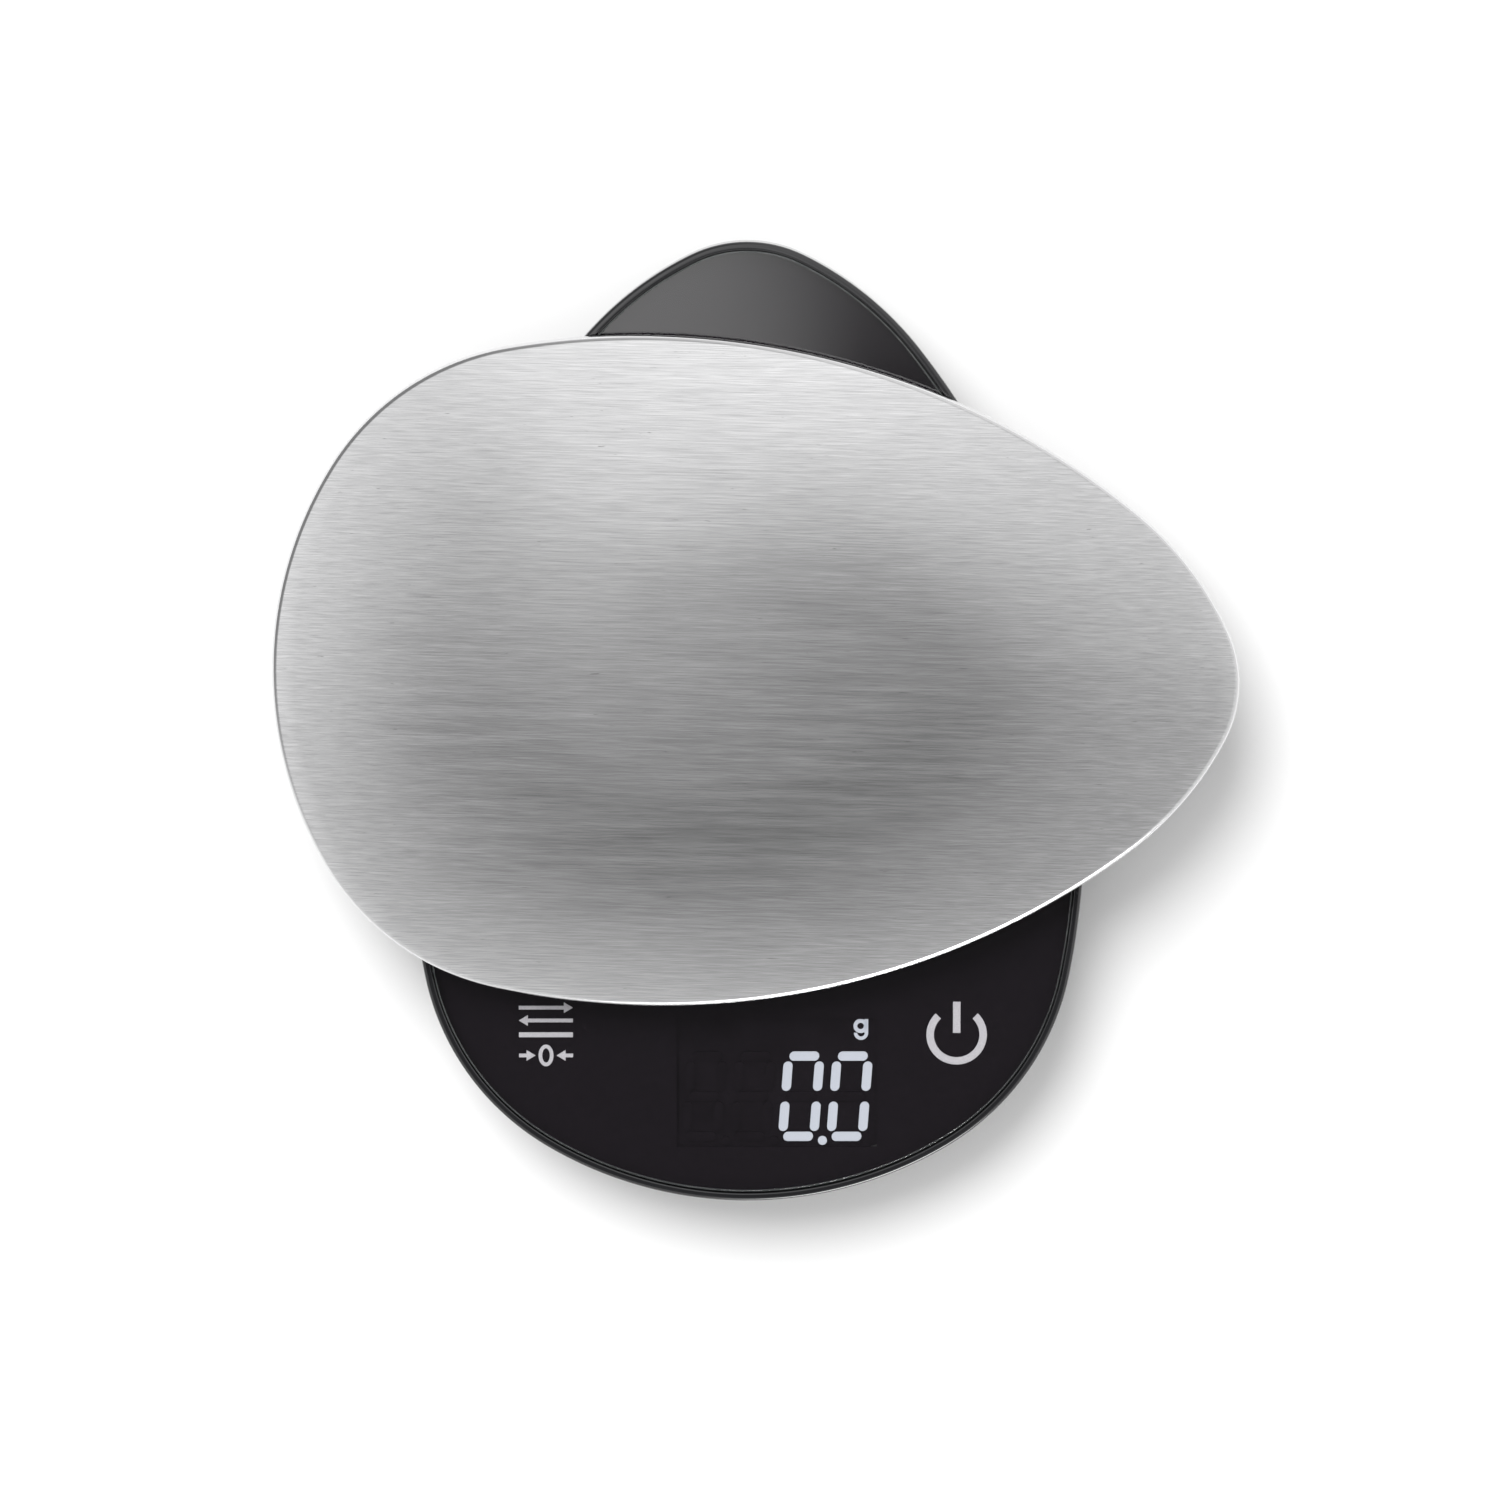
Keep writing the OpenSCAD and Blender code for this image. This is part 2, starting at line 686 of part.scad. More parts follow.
shaft_r = 6;
running_gap = 0.05;
flange_r = 15;
sleeve_r = 15.5;
stop_orbit = 13.4;
stop_r = 1.5;
washer_z = flange_top_z;
washer_thick = 0.6;
hub_z = washer_z + washer_thick;       // underside of the hub
hub_flange_z = rim_z + 1.1;
carrier_z = plate_z - plate_thick - crown_h - 0.3 - 1.8;
carrier_top_z = carrier_z + 1.8;
hub_top_z = carrier_z - 0.2;
spring_h = 0.7;
shaft_top_z = hub_top_z + spring_h;

module on_pivot(z = 0) {
    placed() translate([pivot[0], pivot[1], z]) children();
}

module spindle_spacer() {
    color([0.7, 0.7, 0.72]) placed() difference() {
        translate([pivot[0] - 14, pivot[1] - beam_w / 2, beam_top_z])
            cube([28, beam_w, flange_z - beam_top_z]);
        for (x = free_holes) translate([x, pivot[1], beam_top_z - 1]) cylinder(r = tapped_r + 0.2, h = 4);
    }
}

module spindle() {
    stop_turn = asin(stop_r / stop_orbit) + 0.25;
    notch_from = 90 - open_angle / 2 - stop_turn;
    color(steel) on_pivot() difference() {
        union() {
            translate([0, 0, flange_z]) cylinder(r = flange_r, h = flange_top_z - flange_z, $fn = 96);
            translate([0, 0, flange_z]) cylinder(r = shaft_r, h = shaft_top_z - flange_z, $fn = 96);
        }
        // Notch that the stop pin travels in
        translate([0, 0, flange_z - 1]) rotate([0, 0, notch_from])
            rotate_extrude(angle = open_angle + 2 * stop_turn, $fn = 96)
                translate([stop_orbit - stop_r - 0.2, 0]) square([6, 5]);
        for (x = [-10, 10]) translate([x, 0, flange_z - 1]) {
            cylinder(r = tapped_r + 0.2, h = 5);
            translate([0, 0, 1.6]) cylinder(r1 = tapped_r, r2 = 3.7, h = 1.5);
        }
        translate([0, 0, shaft_top_z - 9]) cylinder(r = tapped_r + hole_slack, h = 10);
    }
}

module spindle_screws() {
    color([0.3, 0.3, 0.32]) on_pivot() for (x = [-10, 10]) translate([x, 0, beam_z + 1]) difference() {
        union() {
            cylinder(r = tapped_r, h = flange_top_z - beam_z - 1.2);
            translate([0, 0, flange_top_z - beam_z - 2.3]) cylinder(r1 = tapped_r, r2 = 3.3, h = 1.2);
        }
        translate([0, 0, flange_top_z - beam_z - 2]) cylinder(r = 1.2, h = 2, $fn = 6);
    }
}

module thrust_washer() {
    color([0.95, 0.95, 0.93]) on_pivot(washer_z) difference() {
        cylinder(r = 11, h = washer_thick);
        translate([0, 0, -1]) cylinder(r = shaft_r + 0.3, h = 3);
    }
}

module platform_hub() {
    color([0.85, 0.85, 0.82]) on_platform() translate([pivot[0], pivot[1], 0]) difference() {
        union() {
            translate([0, 0, hub_z]) cylinder(r = sleeve_r, h = hub_flange_z - hub_z + eps);
            translate([0, 0, hub_flange_z]) cylinder(r = 24, h = hub_top_z - hub_flange_z);
        }
        translate([0, 0, hub_z - 1]) cylinder(r = shaft_r + running_gap, h = 12, $fn = 96);
        rotate([0, 0, 90 + open_angle / 2]) translate([stop_orbit, 0, hub_z - 1])
            cylinder(r = stop_r, h = 4.5);
        for (a = hub_screw_turns) rotate([0, 0, a]) translate([19.5, 0, hub_flange_z + 0.6])
            cylinder(r = 1.25 + hole_slack, h = 5);
    }
}

hub_screw_turns = [30, 150, 270];

module stop_pin() {
    color(steel) on_platform() translate([pivot[0], pivot[1], 0]) rotate([0, 0, 90 + open_angle / 2])
        translate([stop_orbit, 0, flange_z + 0.3]) cylinder(r = stop_r, h = hub_z + 3.5 - flange_z - 0.3);
}

module hub_screws() {
    color(steel) on_platform() translate([pivot[0], pivot[1], 0]) for (a = hub_screw_turns)
        rotate([0, 0, a]) translate([19.5, 0, 0]) {
            translate([0, 0, hub_flange_z + 0.8])
                cylinder(r = 1.25, h = carrier_z + 1 - hub_flange_z - 0.8 + eps);
            translate([0, 0, carrier_z + 1]) cylinder(r = 2.6, h = 1.4);
        }
}

module disc_spring() {
    color([0.6, 0.6, 0.62]) on_pivot(hub_top_z + eps) rotate_extrude()
        polygon([[shaft_r + 0.3, 0.35], [shaft_r + 0.3, spring_h - eps], [9.6, 0.35], [9.6, 0]]);
}

module retaining_washer() {
    color(steel) on_pivot(shaft_top_z) difference() {
        cylinder(r = 9.4, h = 0.8);
        translate([0, 0, -1]) cylinder(r = tapped_r + 0.2, h = 3);
    }
}

module retaining_screw() {
    color([0.3, 0.3, 0.32]) on_pivot(shaft_top_z) difference() {
        union() {
            translate([0, 0, 0.8]) cylinder(r = 3.8, h = 1.1);
            translate([0, 0, -8]) cylinder(r = tapped_r, h = 9);
        }
        translate([0, 0, 1.2]) cylinder(r = 1.3, h = 2, $fn = 6);
    }
}

// ---- Platform ----

// Height of the plate's upper face on the outline shrunk to a share
function crown(share) = plate_z - crown_h * pow((share - flat_share) / (1 - flat_share), 2);

module platform_plate() {
    t = plate_thick;
    crown_steps = 6;
    roll_steps = 4;
    edge_z = crown(1);
    shares = [for (k = [0:crown_steps]) flat_share + (1 - flat_share) * k / crown_steps];
    top = [for (share = shares) [roll_r, crown(share), share]];
    roll = [for (k = [1:roll_steps]) let (a = 90 * k / roll_steps)
            [roll_r - roll_r * sin(a), edge_z - roll_r + roll_r * cos(a)]];
    under = [for (k = [crown_steps:-1:0]) [roll_r + 0.3, crown(shares[k]) - t, shares[k]]];
    color(steel) on_platform()
        shell(concat(top, roll, [[0, skirt_z], [t, skirt_z], [t, edge_z - roll_r - 0.2]], under));
}

module platform_carrier() {
    side_gap = 0.3;
    outer = plate_thick + side_gap;
    color(black) on_platform() difference() {
        union() {
            difference() {
                slab(outer, skirt_z + 0.2, carrier_top_z - 0.6);
                slab(outer + 1.8, skirt_z - 1, carrier_z);
            }
            slab(outer + 1.2, carrier_z, carrier_top_z);
            // Ribs under the deck
            intersection() {
                slab(outer + 0.5, skirt_z + 0.6, carrier_z + eps);
                translate([pivot[0], pivot[1], 0]) for (a = [0, 60, 120]) rotate([0, 0, a])
                    translate([-120, -0.8, skirt_z + 0.6]) cube([240, 1.6, 3]);
            }
        }
        translate([pivot[0], pivot[1], 0]) {
            translate([0, 0, skirt_z - 1]) cylinder(r = 24.3, h = carrier_z + 1 - skirt_z);
            cylinder(r = 12, h = 40);
            for (a = hub_screw_turns) rotate([0, 0, a]) translate([19.5, 0, 0]) {
                cylinder(r = 1.5, h = 40);
                translate([0, 0, carrier_z + 1]) cylinder(r = 3, h = 3);
            }
        }
    }
}

// Strips on the deck beside the swivel, under the plate's crown
module platform_tape() {
    strips = [[0, 40, 44, 12], [0, -40, 56, 14], [-34, 4, 10, 44], [34, 4, 10, 44]];
    color([0.85, 0.85, 0.8]) on_platform() for (s = strips)
        translate([s[0] - s[2] / 2, s[1] - s[3] / 2, carrier_top_z])
            cube([s[2], s[3], plate_z - plate_thick - 0.5 - carrier_top_z]);
}

base_tray();
top_cover();
housing_screws();
rubber_feet();
glass_panel();
panel_mask();
panel_legends();
panel_tape();
display_module();
digits_lit();
digits_dark();
main_board();
board_chips();
board_screws();
touch_pads();
wire_sockets();
load_cell();
load_cell_screws();
gauge_potting();
gauge_wires();
battery_cells();
battery_plates();
battery_springs();
battery_wires();
battery_door();
spindle_spacer();
spindle();
spindle_screws();
thrust_washer();
disc_spring();
retaining_washer();
retaining_screw();
platform_plate();
platform_carrier();
platform_tape();
platform_hub();
hub_screws();
stop_pin();
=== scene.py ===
"""Kitchen scale with a swivel weighing platform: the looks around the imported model."""

import json
import math

import bmesh
import bpy
from mathutils import Matrix, Vector

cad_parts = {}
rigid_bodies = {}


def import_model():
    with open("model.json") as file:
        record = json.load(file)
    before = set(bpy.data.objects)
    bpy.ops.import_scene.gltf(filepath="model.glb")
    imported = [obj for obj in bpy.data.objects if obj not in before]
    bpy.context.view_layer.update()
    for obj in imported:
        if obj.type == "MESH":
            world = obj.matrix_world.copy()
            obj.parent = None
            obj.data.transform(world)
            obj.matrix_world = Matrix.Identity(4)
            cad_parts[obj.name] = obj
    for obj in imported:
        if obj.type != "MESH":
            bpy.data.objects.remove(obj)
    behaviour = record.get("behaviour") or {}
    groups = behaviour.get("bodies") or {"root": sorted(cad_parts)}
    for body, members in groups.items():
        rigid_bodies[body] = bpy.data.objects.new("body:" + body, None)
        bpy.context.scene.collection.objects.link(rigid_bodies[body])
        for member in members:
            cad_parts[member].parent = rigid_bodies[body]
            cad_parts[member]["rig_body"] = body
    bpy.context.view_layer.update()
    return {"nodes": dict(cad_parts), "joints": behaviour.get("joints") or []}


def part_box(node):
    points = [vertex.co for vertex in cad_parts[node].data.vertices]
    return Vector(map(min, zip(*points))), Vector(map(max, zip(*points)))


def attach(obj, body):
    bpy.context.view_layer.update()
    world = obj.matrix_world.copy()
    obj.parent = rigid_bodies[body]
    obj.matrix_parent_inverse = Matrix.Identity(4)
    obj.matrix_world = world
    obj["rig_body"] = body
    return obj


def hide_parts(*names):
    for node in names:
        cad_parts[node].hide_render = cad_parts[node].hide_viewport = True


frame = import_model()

MM = 0.001

# ---- Outline shared by the base and the platform: nine arcs that meet tangent to tangent ----

TIP_R = 24.7 * MM
SHOULDER_R = 64.6 * MM
FLANK_R = 154 * MM
HAUNCH_R = 51.3 * MM
# Direction of the outward normal, from the tip's, where each arc of one side ends
ARC_ENDS = [math.radians(a) for a in (25.8, 51.7, 101, 149, 180)]
# How far the base stands out past the closed platform
BASE_MARGIN = 0.6 * MM
# Longest step between points of the outline
FINE_STEP = 1.5 * MM

cover_low, cover_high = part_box("top_cover")
BASE_MIDDLE = (cover_low + cover_high) / 2
PLATE_LEN = cover_high.y - cover_low.y - 2 * BASE_MARGIN
swivel = next(j for j in frame["joints"] if j["name"] == "platform_swivel")
PIVOT = Vector(swivel["pos_m"])
OPEN_TURN = math.radians(swivel["range_deg"][1])


def outline_arcs():
    """Middle, radius, first and last normal direction of the five arcs of the right side."""
    first, second, third, fourth = (math.sin(a) for a in ARC_ENDS[:4])
    heel_r = HAUNCH_R + ((TIP_R - SHOULDER_R) * first + (SHOULDER_R - FLANK_R) * second
                         + (FLANK_R - HAUNCH_R) * third) / fourth
    radii = [TIP_R, SHOULDER_R, FLANK_R, HAUNCH_R, heel_r]
    middles = [Vector((0, 0))]
    for before, after, turn in zip(radii, radii[1:], ARC_ENDS):
        middles.append(middles[-1] + (before - after) * Vector((math.sin(turn), math.cos(turn))))
    length = TIP_R - middles[-1].y + heel_r
    centre = Vector((0, TIP_R - length / 2))
    size = PLATE_LEN / length
    starts = [0] + ARC_ENDS[:-1]
    return [((m - centre) * size, r * size, a, b) for m, r, a, b in zip(middles, radii, starts, ARC_ENDS)]


ARCS = outline_arcs()


def outline(inset=0.0, share=1.0):
    """Points of the outline drawn in by inset and shrunk to a share about its middle."""
    right = []
    for middle, radius, start, end in ARCS:
        steps = math.ceil(radius * (end - start) / FINE_STEP)
        for k in range(steps):
            turn = start + (end - start) * k / steps
            right.append(middle + (radius - inset) * Vector((math.sin(turn), math.cos(turn))))
    middle, radius = ARCS[-1][:2]
    right.append(middle - (radius - inset) * Vector((0, 1)))
    left = [Vector((-p.x, p.y)) for p in reversed(right[1:-1])]
    return [share * p for p in right + left]


# ---- Mesh helpers ----

# Places for a shape that is drawn about the base's middle: over the base, and swung open about the swivel
CLOSED = Matrix.Translation((BASE_MIDDLE.x, BASE_MIDDLE.y, 0))
TO_OPEN = Matrix.Translation(PIVOT) @ Matrix.Rotation(-OPEN_TURN, 4, "Z") @ Matrix.Translation(-PIVOT)
# Swivel axis measured from the base's middle
PIVOT_IN_BASE = Vector((PIVOT.x - BASE_MIDDLE.x, PIVOT.y - BASE_MIDDLE.y))


def ring(inset, z, share=1.0):
    """The outline at height z, drawn in by inset."""
    return [Vector((p.x, p.y, z)) for p in outline(inset, share)]


def round_ring(radius, z):
    """A circle about the swivel axis, with a point in the direction of each outline point."""
    found = []
    for p in outline():
        direction = (p - PIVOT_IN_BASE).normalized()
        found.append(Vector((*(PIVOT_IN_BASE + radius * direction), z)))
    return found


def loft(rings, closed=False):
    """Mesh through rings with equal point counts, given so that faces look outward from top to bottom."""
    bm = bmesh.new()
    rows = [[bm.verts.new(p) for p in points] for points in rings]
    count = len(rows[0])
    pairs = list(zip(rows, rows[1:]))
    if closed:
        pairs.append((rows[-1], rows[0]))
    for upper, lower in pairs:
        for k in range(count):
            n = (k + 1) % count
            bm.faces.new((upper[k], upper[n], lower[n], lower[k]))
    if not closed:
        bm.faces.new(list(reversed(rows[0])))
        bm.faces.new(rows[-1])
    bmesh.ops.recalc_face_normals(bm, faces=bm.faces)
    return bm


def prism(points, z0, z1):
    """Extruded polygon."""
    bm = bmesh.new()
    low = [bm.verts.new((p[0], p[1], z0)) for p in points]
    high = [bm.verts.new((p[0], p[1], z1)) for p in points]
    bm.faces.new(low)
    bm.faces.new(high)
    for k in range(len(points)):
        n = (k + 1) % len(points)
        bm.faces.new((low[k], low[n], high[n], high[k]))
    bmesh.ops.recalc_face_normals(bm, faces=bm.faces)
    return bm


def oval_points(middle, half_w, half_h, sides=64):
    """Points round an oval, or round a circle where its two halves are equal."""
    turns = [2 * math.pi * k / sides for k in range(sides)]
    return [(middle[0] + half_w * math.cos(a), middle[1] + half_h * math.sin(a)) for a in turns]


def cylinder(x, y, radius, z0, z1, sides=64):
    """Upright cylinder."""
    return prism(oval_points((x, y), radius, radius, sides), z0, z1)


def oval_tube(middle, half_w, half_h, stroke, z0, z1):
    """Upright oval ring."""

    def oval(inset, z):
        return [Vector((*p, z)) for p in oval_points(middle, half_w - inset, half_h - inset)]

    return loft([oval(0, z1), oval(0, z0), oval(stroke, z0), oval(stroke, z1)], closed=True)


def rectangle(middle, width, height):
    """Corners of a rectangle."""
    return [(middle.x + sx * width / 2, middle.y + sy * height / 2)
            for sx, sy in ((-1, -1), (1, -1), (1, 1), (-1, 1))]


def joined(parts):
    """One mesh from several separate ones."""
    whole = bmesh.new()
    for part in parts:
        mesh = bpy.data.meshes.new("part")
        part.to_mesh(mesh)
        part.free()
        whole.from_mesh(mesh)
        bpy.data.meshes.remove(mesh)
    return whole


SHARP_DEGREES = 30


def to_object(bm, name, place=None, sharp=SHARP_DEGREES):
    """Scene object from a mesh, smooth but for edges sharper than the given angle."""
    if place is not None:
        bm.transform(place)
    mesh = bpy.data.meshes.new(name)
    bm.to_mesh(mesh)
    bm.free()
    mesh.polygons.foreach_set("use_smooth", [True] * len(mesh.polygons))
    mesh.set_sharp_from_angle(angle=math.radians(sharp))
    made = bpy.data.objects.new(name, mesh)
    bpy.context.scene.collection.objects.link(made)
    return made


def baked(piece):
    """Applies the piece's modifiers to its mesh."""
    graph = bpy.context.evaluated_depsgraph_get()
    mesh = bpy.data.meshes.new_from_object(piece.evaluated_get(graph))
    piece.modifiers.clear()
    piece.data = mesh
    return piece


def cut(piece, closed_meshes, operation="DIFFERENCE"):
    """Cuts closed meshes out of the piece, or with UNION adds them to it."""
    for bm in closed_meshes:
        tool = to_object(bm, "tool")
        boolean = piece.modifiers.new("cut", "BOOLEAN")
        boolean.solver = "EXACT"
        boolean.operation = operation
        boolean.object = tool
        bpy.context.view_layer.update()
        baked(piece)
        bpy.data.objects.remove(tool)
    piece.data.set_sharp_from_angle(angle=math.radians(SHARP_DEGREES))
    return piece


def node_mesh(node):
    """Copy of a CAD node's mesh with its doubled points merged."""
    bm = bmesh.new()
    bm.from_mesh(frame["nodes"][node].data)
    bmesh.ops.remove_doubles(bm, verts=bm.verts, dist=0.002 * MM)
    return bm


def solid_middles(node):
    """Middle of each separate solid of a CAD node, seen from above."""
    bm = node_mesh(node)
    seen = set()
    middles = []
    for start in bm.verts:
        if start in seen:
            continue
        seen.add(start)
        found, waiting = [], [start]
        while waiting:
            vert = waiting.pop()
            found.append(vert.co.copy())
            near = [e.other_vert(vert) for e in vert.link_edges]
            waiting += [v for v in near if v not in seen]
            seen.update(near)
        xs = [c.x for c in found]
        ys = [c.y for c in found]
        middles.append(((min(xs) + max(xs)) / 2, (min(ys) + max(ys)) / 2))
    bm.free()
    return middles


def even_shading(piece):
    """Large faces keep flat shading where small ones round their edges."""
    weighted = piece.modifiers.new("even", "WEIGHTED_NORMAL")
    weighted.keep_sharp = True
    weighted.weight = 80
    return piece


def refined(node, edge):
    """Copy of a CAD node with merged faces, edges softened by edge and smooth rounds."""
    flat, sharp = 0.4, 32
    bm = node_mesh(node)
    bmesh.ops.dissolve_limit(bm, angle_limit=math.radians(flat), verts=bm.verts, edges=bm.edges,
                             delimit={"NORMAL"})
    if edge:
        corners = [e for e in bm.edges if e.is_manifold and e.calc_face_angle(0) > math.radians(sharp)]
        bmesh.ops.bevel(bm, geom=corners, offset=edge, segments=2, profile=0.5, affect="EDGES",
                        clamp_overlap=True)
    piece = to_object(bm, node + "_fine", sharp=sharp)
    return even_shading(piece)


def dress(piece, node, slot, *materials):
    """Puts the piece in the CAD node's place, with its materials."""
    piece.data.materials.clear()
    for material in materials:
        piece.data.materials.append(material)
    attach(piece, frame["nodes"][node]["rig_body"])
    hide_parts(node)
    return piece


# ---- Material helpers ----


class Finish:
    """A Principled material whose texture nodes are added one call at a time."""

    def __init__(self, name, colour, roughness, metallic=0.0, **sockets):
        self.material = bpy.data.materials.new(name)
        self.material.use_nodes = True
        self.nodes = self.material.node_tree.nodes
        self.links = self.material.node_tree.links
        self.shader = self.nodes["Principled BSDF"]
        self.colour = (*colour, 1)
        self.roughness = roughness
        self.shader.inputs["Base Color"].default_value = self.colour
        self.shader.inputs["Roughness"].default_value = roughness
        self.shader.inputs["Metallic"].default_value = metallic
        for socket, value in sockets.items():
            self.shader.inputs[socket.replace("_", " ")].default_value = value
        self.coordinates = self.nodes.new("ShaderNodeTexCoord").outputs["Object"]
        self.tint = None

    def link(self, source, target):
        """Connects an output to an input."""
        self.links.new(source, target)

    def noise(self, scale, detail=3.0, stretch=(1, 1, 1), turn=0.0, rough=0.5):
        """Noise in metres of the object, about 0.5, after a stretch and a turn about the vertical."""
        mapping = self.nodes.new("ShaderNodeMapping")
        mapping.inputs["Rotation"].default_value = (0, 0, turn)
        squeeze = self.nodes.new("ShaderNodeMapping")
        squeeze.inputs["Scale"].default_value = stretch
        texture = self.nodes.new("ShaderNodeTexNoise")
        texture.inputs["Scale"].default_value = scale
        texture.inputs["Detail"].default_value = detail
        texture.inputs["Roughness"].default_value = rough
        self.link(self.coordinates, mapping.inputs["Vector"])
        self.link(mapping.outputs["Vector"], squeeze.inputs["Vector"])
        self.link(squeeze.outputs["Vector"], texture.inputs["Vector"])
        return texture.outputs["Fac"]

    def spread(self, source, low, high, start=0.3, end=0.7):
        """The source's range from start to end, spread from low to high."""
        spread = self.nodes.new("ShaderNodeMapRange")
        for socket, value in zip(("From Min", "From Max", "To Min", "To Max"), (start, end, low, high)):
            spread.inputs[socket].default_value = value
        self.link(source, spread.inputs["Value"])
        return spread.outputs["Result"]

    def average(self, first, second):
        """Mean of two sources."""
        mean = self.nodes.new("ShaderNodeMath")
        mean.operation = "MULTIPLY_ADD"
        mean.inputs[1].default_value = 0.5
        half = self.nodes.new("ShaderNodeMath")
        half.operation = "MULTIPLY"
        half.inputs[1].default_value = 0.5
        self.link(second, half.inputs[0])
        self.link(first, mean.inputs[0])
        self.link(half.outputs["Value"], mean.inputs[2])
        return mean.outputs["Value"]

    def vary_roughness(self, source, amount):
        """The roughness goes up and down by an amount with the source."""
        self.link(self.spread(source, self.roughness - amount, self.roughness + amount),
                  self.shader.inputs["Roughness"])

    def vary_colour(self, source, other, start=0.3, end=0.7):
        """The colour, as varied so far, goes over to another where the source is high."""
        mix = self.nodes.new("ShaderNodeMix")
        mix.data_type = "RGBA"
        mix.inputs["A"].default_value = self.colour
        if self.tint:
            self.link(self.tint, mix.inputs["A"])
        mix.inputs["B"].default_value = (*other, 1)
        self.link(self.spread(source, 0, 1, start, end), mix.inputs["Factor"])
        self.tint = mix.outputs["Result"]
        self.link(self.tint, self.shader.inputs["Base Color"])

    def bump(self, source, depth, strength):
        """The source stands up from the surface by a depth."""
        bump = self.nodes.new("ShaderNodeBump")
        bump.inputs["Distance"].default_value = depth
        bump.inputs["Strength"].default_value = strength
        self.link(source, bump.inputs["Height"])
        self.link(bump.outputs["Normal"], self.shader.inputs["Normal"])


def brushed_plate():
    """Stainless steel brushed along the platform's long axis."""
    finish = Finish("brushed_plate", (0.72, 0.72, 0.725), 0.165, 1.0, Anisotropic=0.4)
    along = OPEN_TURN - math.pi / 2
    # Fine and coarse brush lines, and a few short dark flecks
    fine = finish.noise(8000, 2, (0.02, 1, 1), along, 0.6)
    coarse = finish.noise(4200, 2, (0.02, 1, 1), along, 0.6)
    flecks = finish.noise(2200, 2, (0.15, 1, 1), along, 0.6)
    streaks = finish.average(fine, coarse)
    finish.vary_colour(streaks, (0.46, 0.46, 0.465), 0.34, 0.7)
    finish.vary_colour(flecks, (0.3, 0.3, 0.3), 0.72, 0.8)
    finish.vary_roughness(finish.noise(600, 3, (0.06, 1, 1), along), 0.012)
    finish.bump(fine, 0.001 * MM, 0.05)
    across = finish.nodes.new("ShaderNodeTangent")
    across.direction_type = "UV_MAP"
    across.uv_map = "across"
    finish.link(across.outputs["Tangent"], finish.shader.inputs["Tangent"])
    return finish.material


def polished_steel():
    """Rolled edge and skirt of the plate."""
    finish = Finish("polished_steel", (0.7, 0.7, 0.705), 0.13, 1.0)
    marks = finish.noise(500, 3, (0.1, 1, 1))
    finish.vary_roughness(marks, 0.03)
    finish.bump(marks, 0.004 * MM, 0.3)
    return finish.material


def gloss_black():
    """Polished plastic of the cover, with a faint wave in its mirror."""
    finish = Finish("gloss_black", (0.01, 0.01, 0.011), 0.07, IOR=1.65)
    haze = finish.noise(90, 4)
    finish.vary_roughness(haze, 0.03)
    finish.bump(finish.noise(40, 1), 0.02 * MM, 0.3)
    return finish.material


def matte_black():
    """Moulded plastic with a fine spark texture."""
    finish = Finish("matte_black", (0.022, 0.022, 0.023), 0.55)
    spark = finish.noise(2600, 2)
    broad = finish.noise(60, 3)
    finish.vary_roughness(broad, 0.06)
    finish.vary_colour(broad, (0.0275, 0.0275, 0.02875))
    finish.bump(spark, 0.03 * MM, 0.6)
    return finish.material


def black_glass():
    """Dark tinted glass: it mirrors at its face, and lets the print and the readout show through."""
    material = bpy.data.materials.new("black_glass")
    material.use_nodes = True
    nodes, links = material.node_tree.nodes, material.node_tree.links
    nodes.remove(nodes["Principled BSDF"])
    mirror = nodes.new("ShaderNodeBsdfGlossy")
    clear = nodes.new("ShaderNodeBsdfTransparent")
    clear.inputs["Color"].default_value = (0.93, 0.925, 0.935, 1)
    fresnel = nodes.new("ShaderNodeFresnel")
    fresnel.inputs["IOR"].default_value = 2.0
    # Light that comes back up through the glass passes freely
    front = nodes.new("ShaderNodeMath")
    front.operation = "SUBTRACT"
    front.inputs[0].default_value = 1
    links.new(nodes.new("ShaderNodeNewGeometry").outputs["Backfacing"], front.inputs[1])
    share = nodes.new("ShaderNodeMath")
    share.operation = "MULTIPLY"
    links.new(fresnel.outputs["Fac"], share.inputs[0])
    links.new(front.outputs["Value"], share.inputs[1])
    mix = nodes.new("ShaderNodeMixShader")
    links.new(share.outputs["Value"], mix.inputs["Fac"])
    links.new(clear.outputs["BSDF"], mix.inputs[1])
    links.new(mirror.outputs["BSDF"], mix.inputs[2])
    links.new(mix.outputs["Shader"], nodes["Material Output"].inputs["Surface"])
    # Faint smudges
    coordinates = nodes.new("ShaderNodeTexCoord")
    smudges = nodes.new("ShaderNodeTexNoise")
    smudges.inputs["Scale"].default_value = 45
    spread = nodes.new("ShaderNodeMapRange")
    spread.inputs["To Min"].default_value = 0.015
    spread.inputs["To Max"].default_value = 0.06
    links.new(coordinates.outputs["Object"], smudges.inputs["Vector"])
    links.new(smudges.outputs["Fac"], spread.inputs["Value"])
    links.new(spread.outputs["Result"], mirror.inputs["Roughness"])
    return material


def glass_edge():
    """Ground bevel and side of the glass."""
    finish = Finish("glass_edge", (0.09, 0.095, 0.095), 0.16, IOR=1.8)
    finish.vary_roughness(finish.noise(1500, 3), 0.05)
    finish.vary_colour(finish.noise(400, 3), (0.06, 0.065, 0.065))
    return finish.material


def print_black():
    """Black print on the film."""
    finish = Finish("print_black", (0.0112, 0.0092, 0.0116), 0.6, Specular_IOR_Level=0)
    finish.vary_colour(finish.noise(700, 3), (0.0102, 0.0085, 0.0106))
    return finish.material


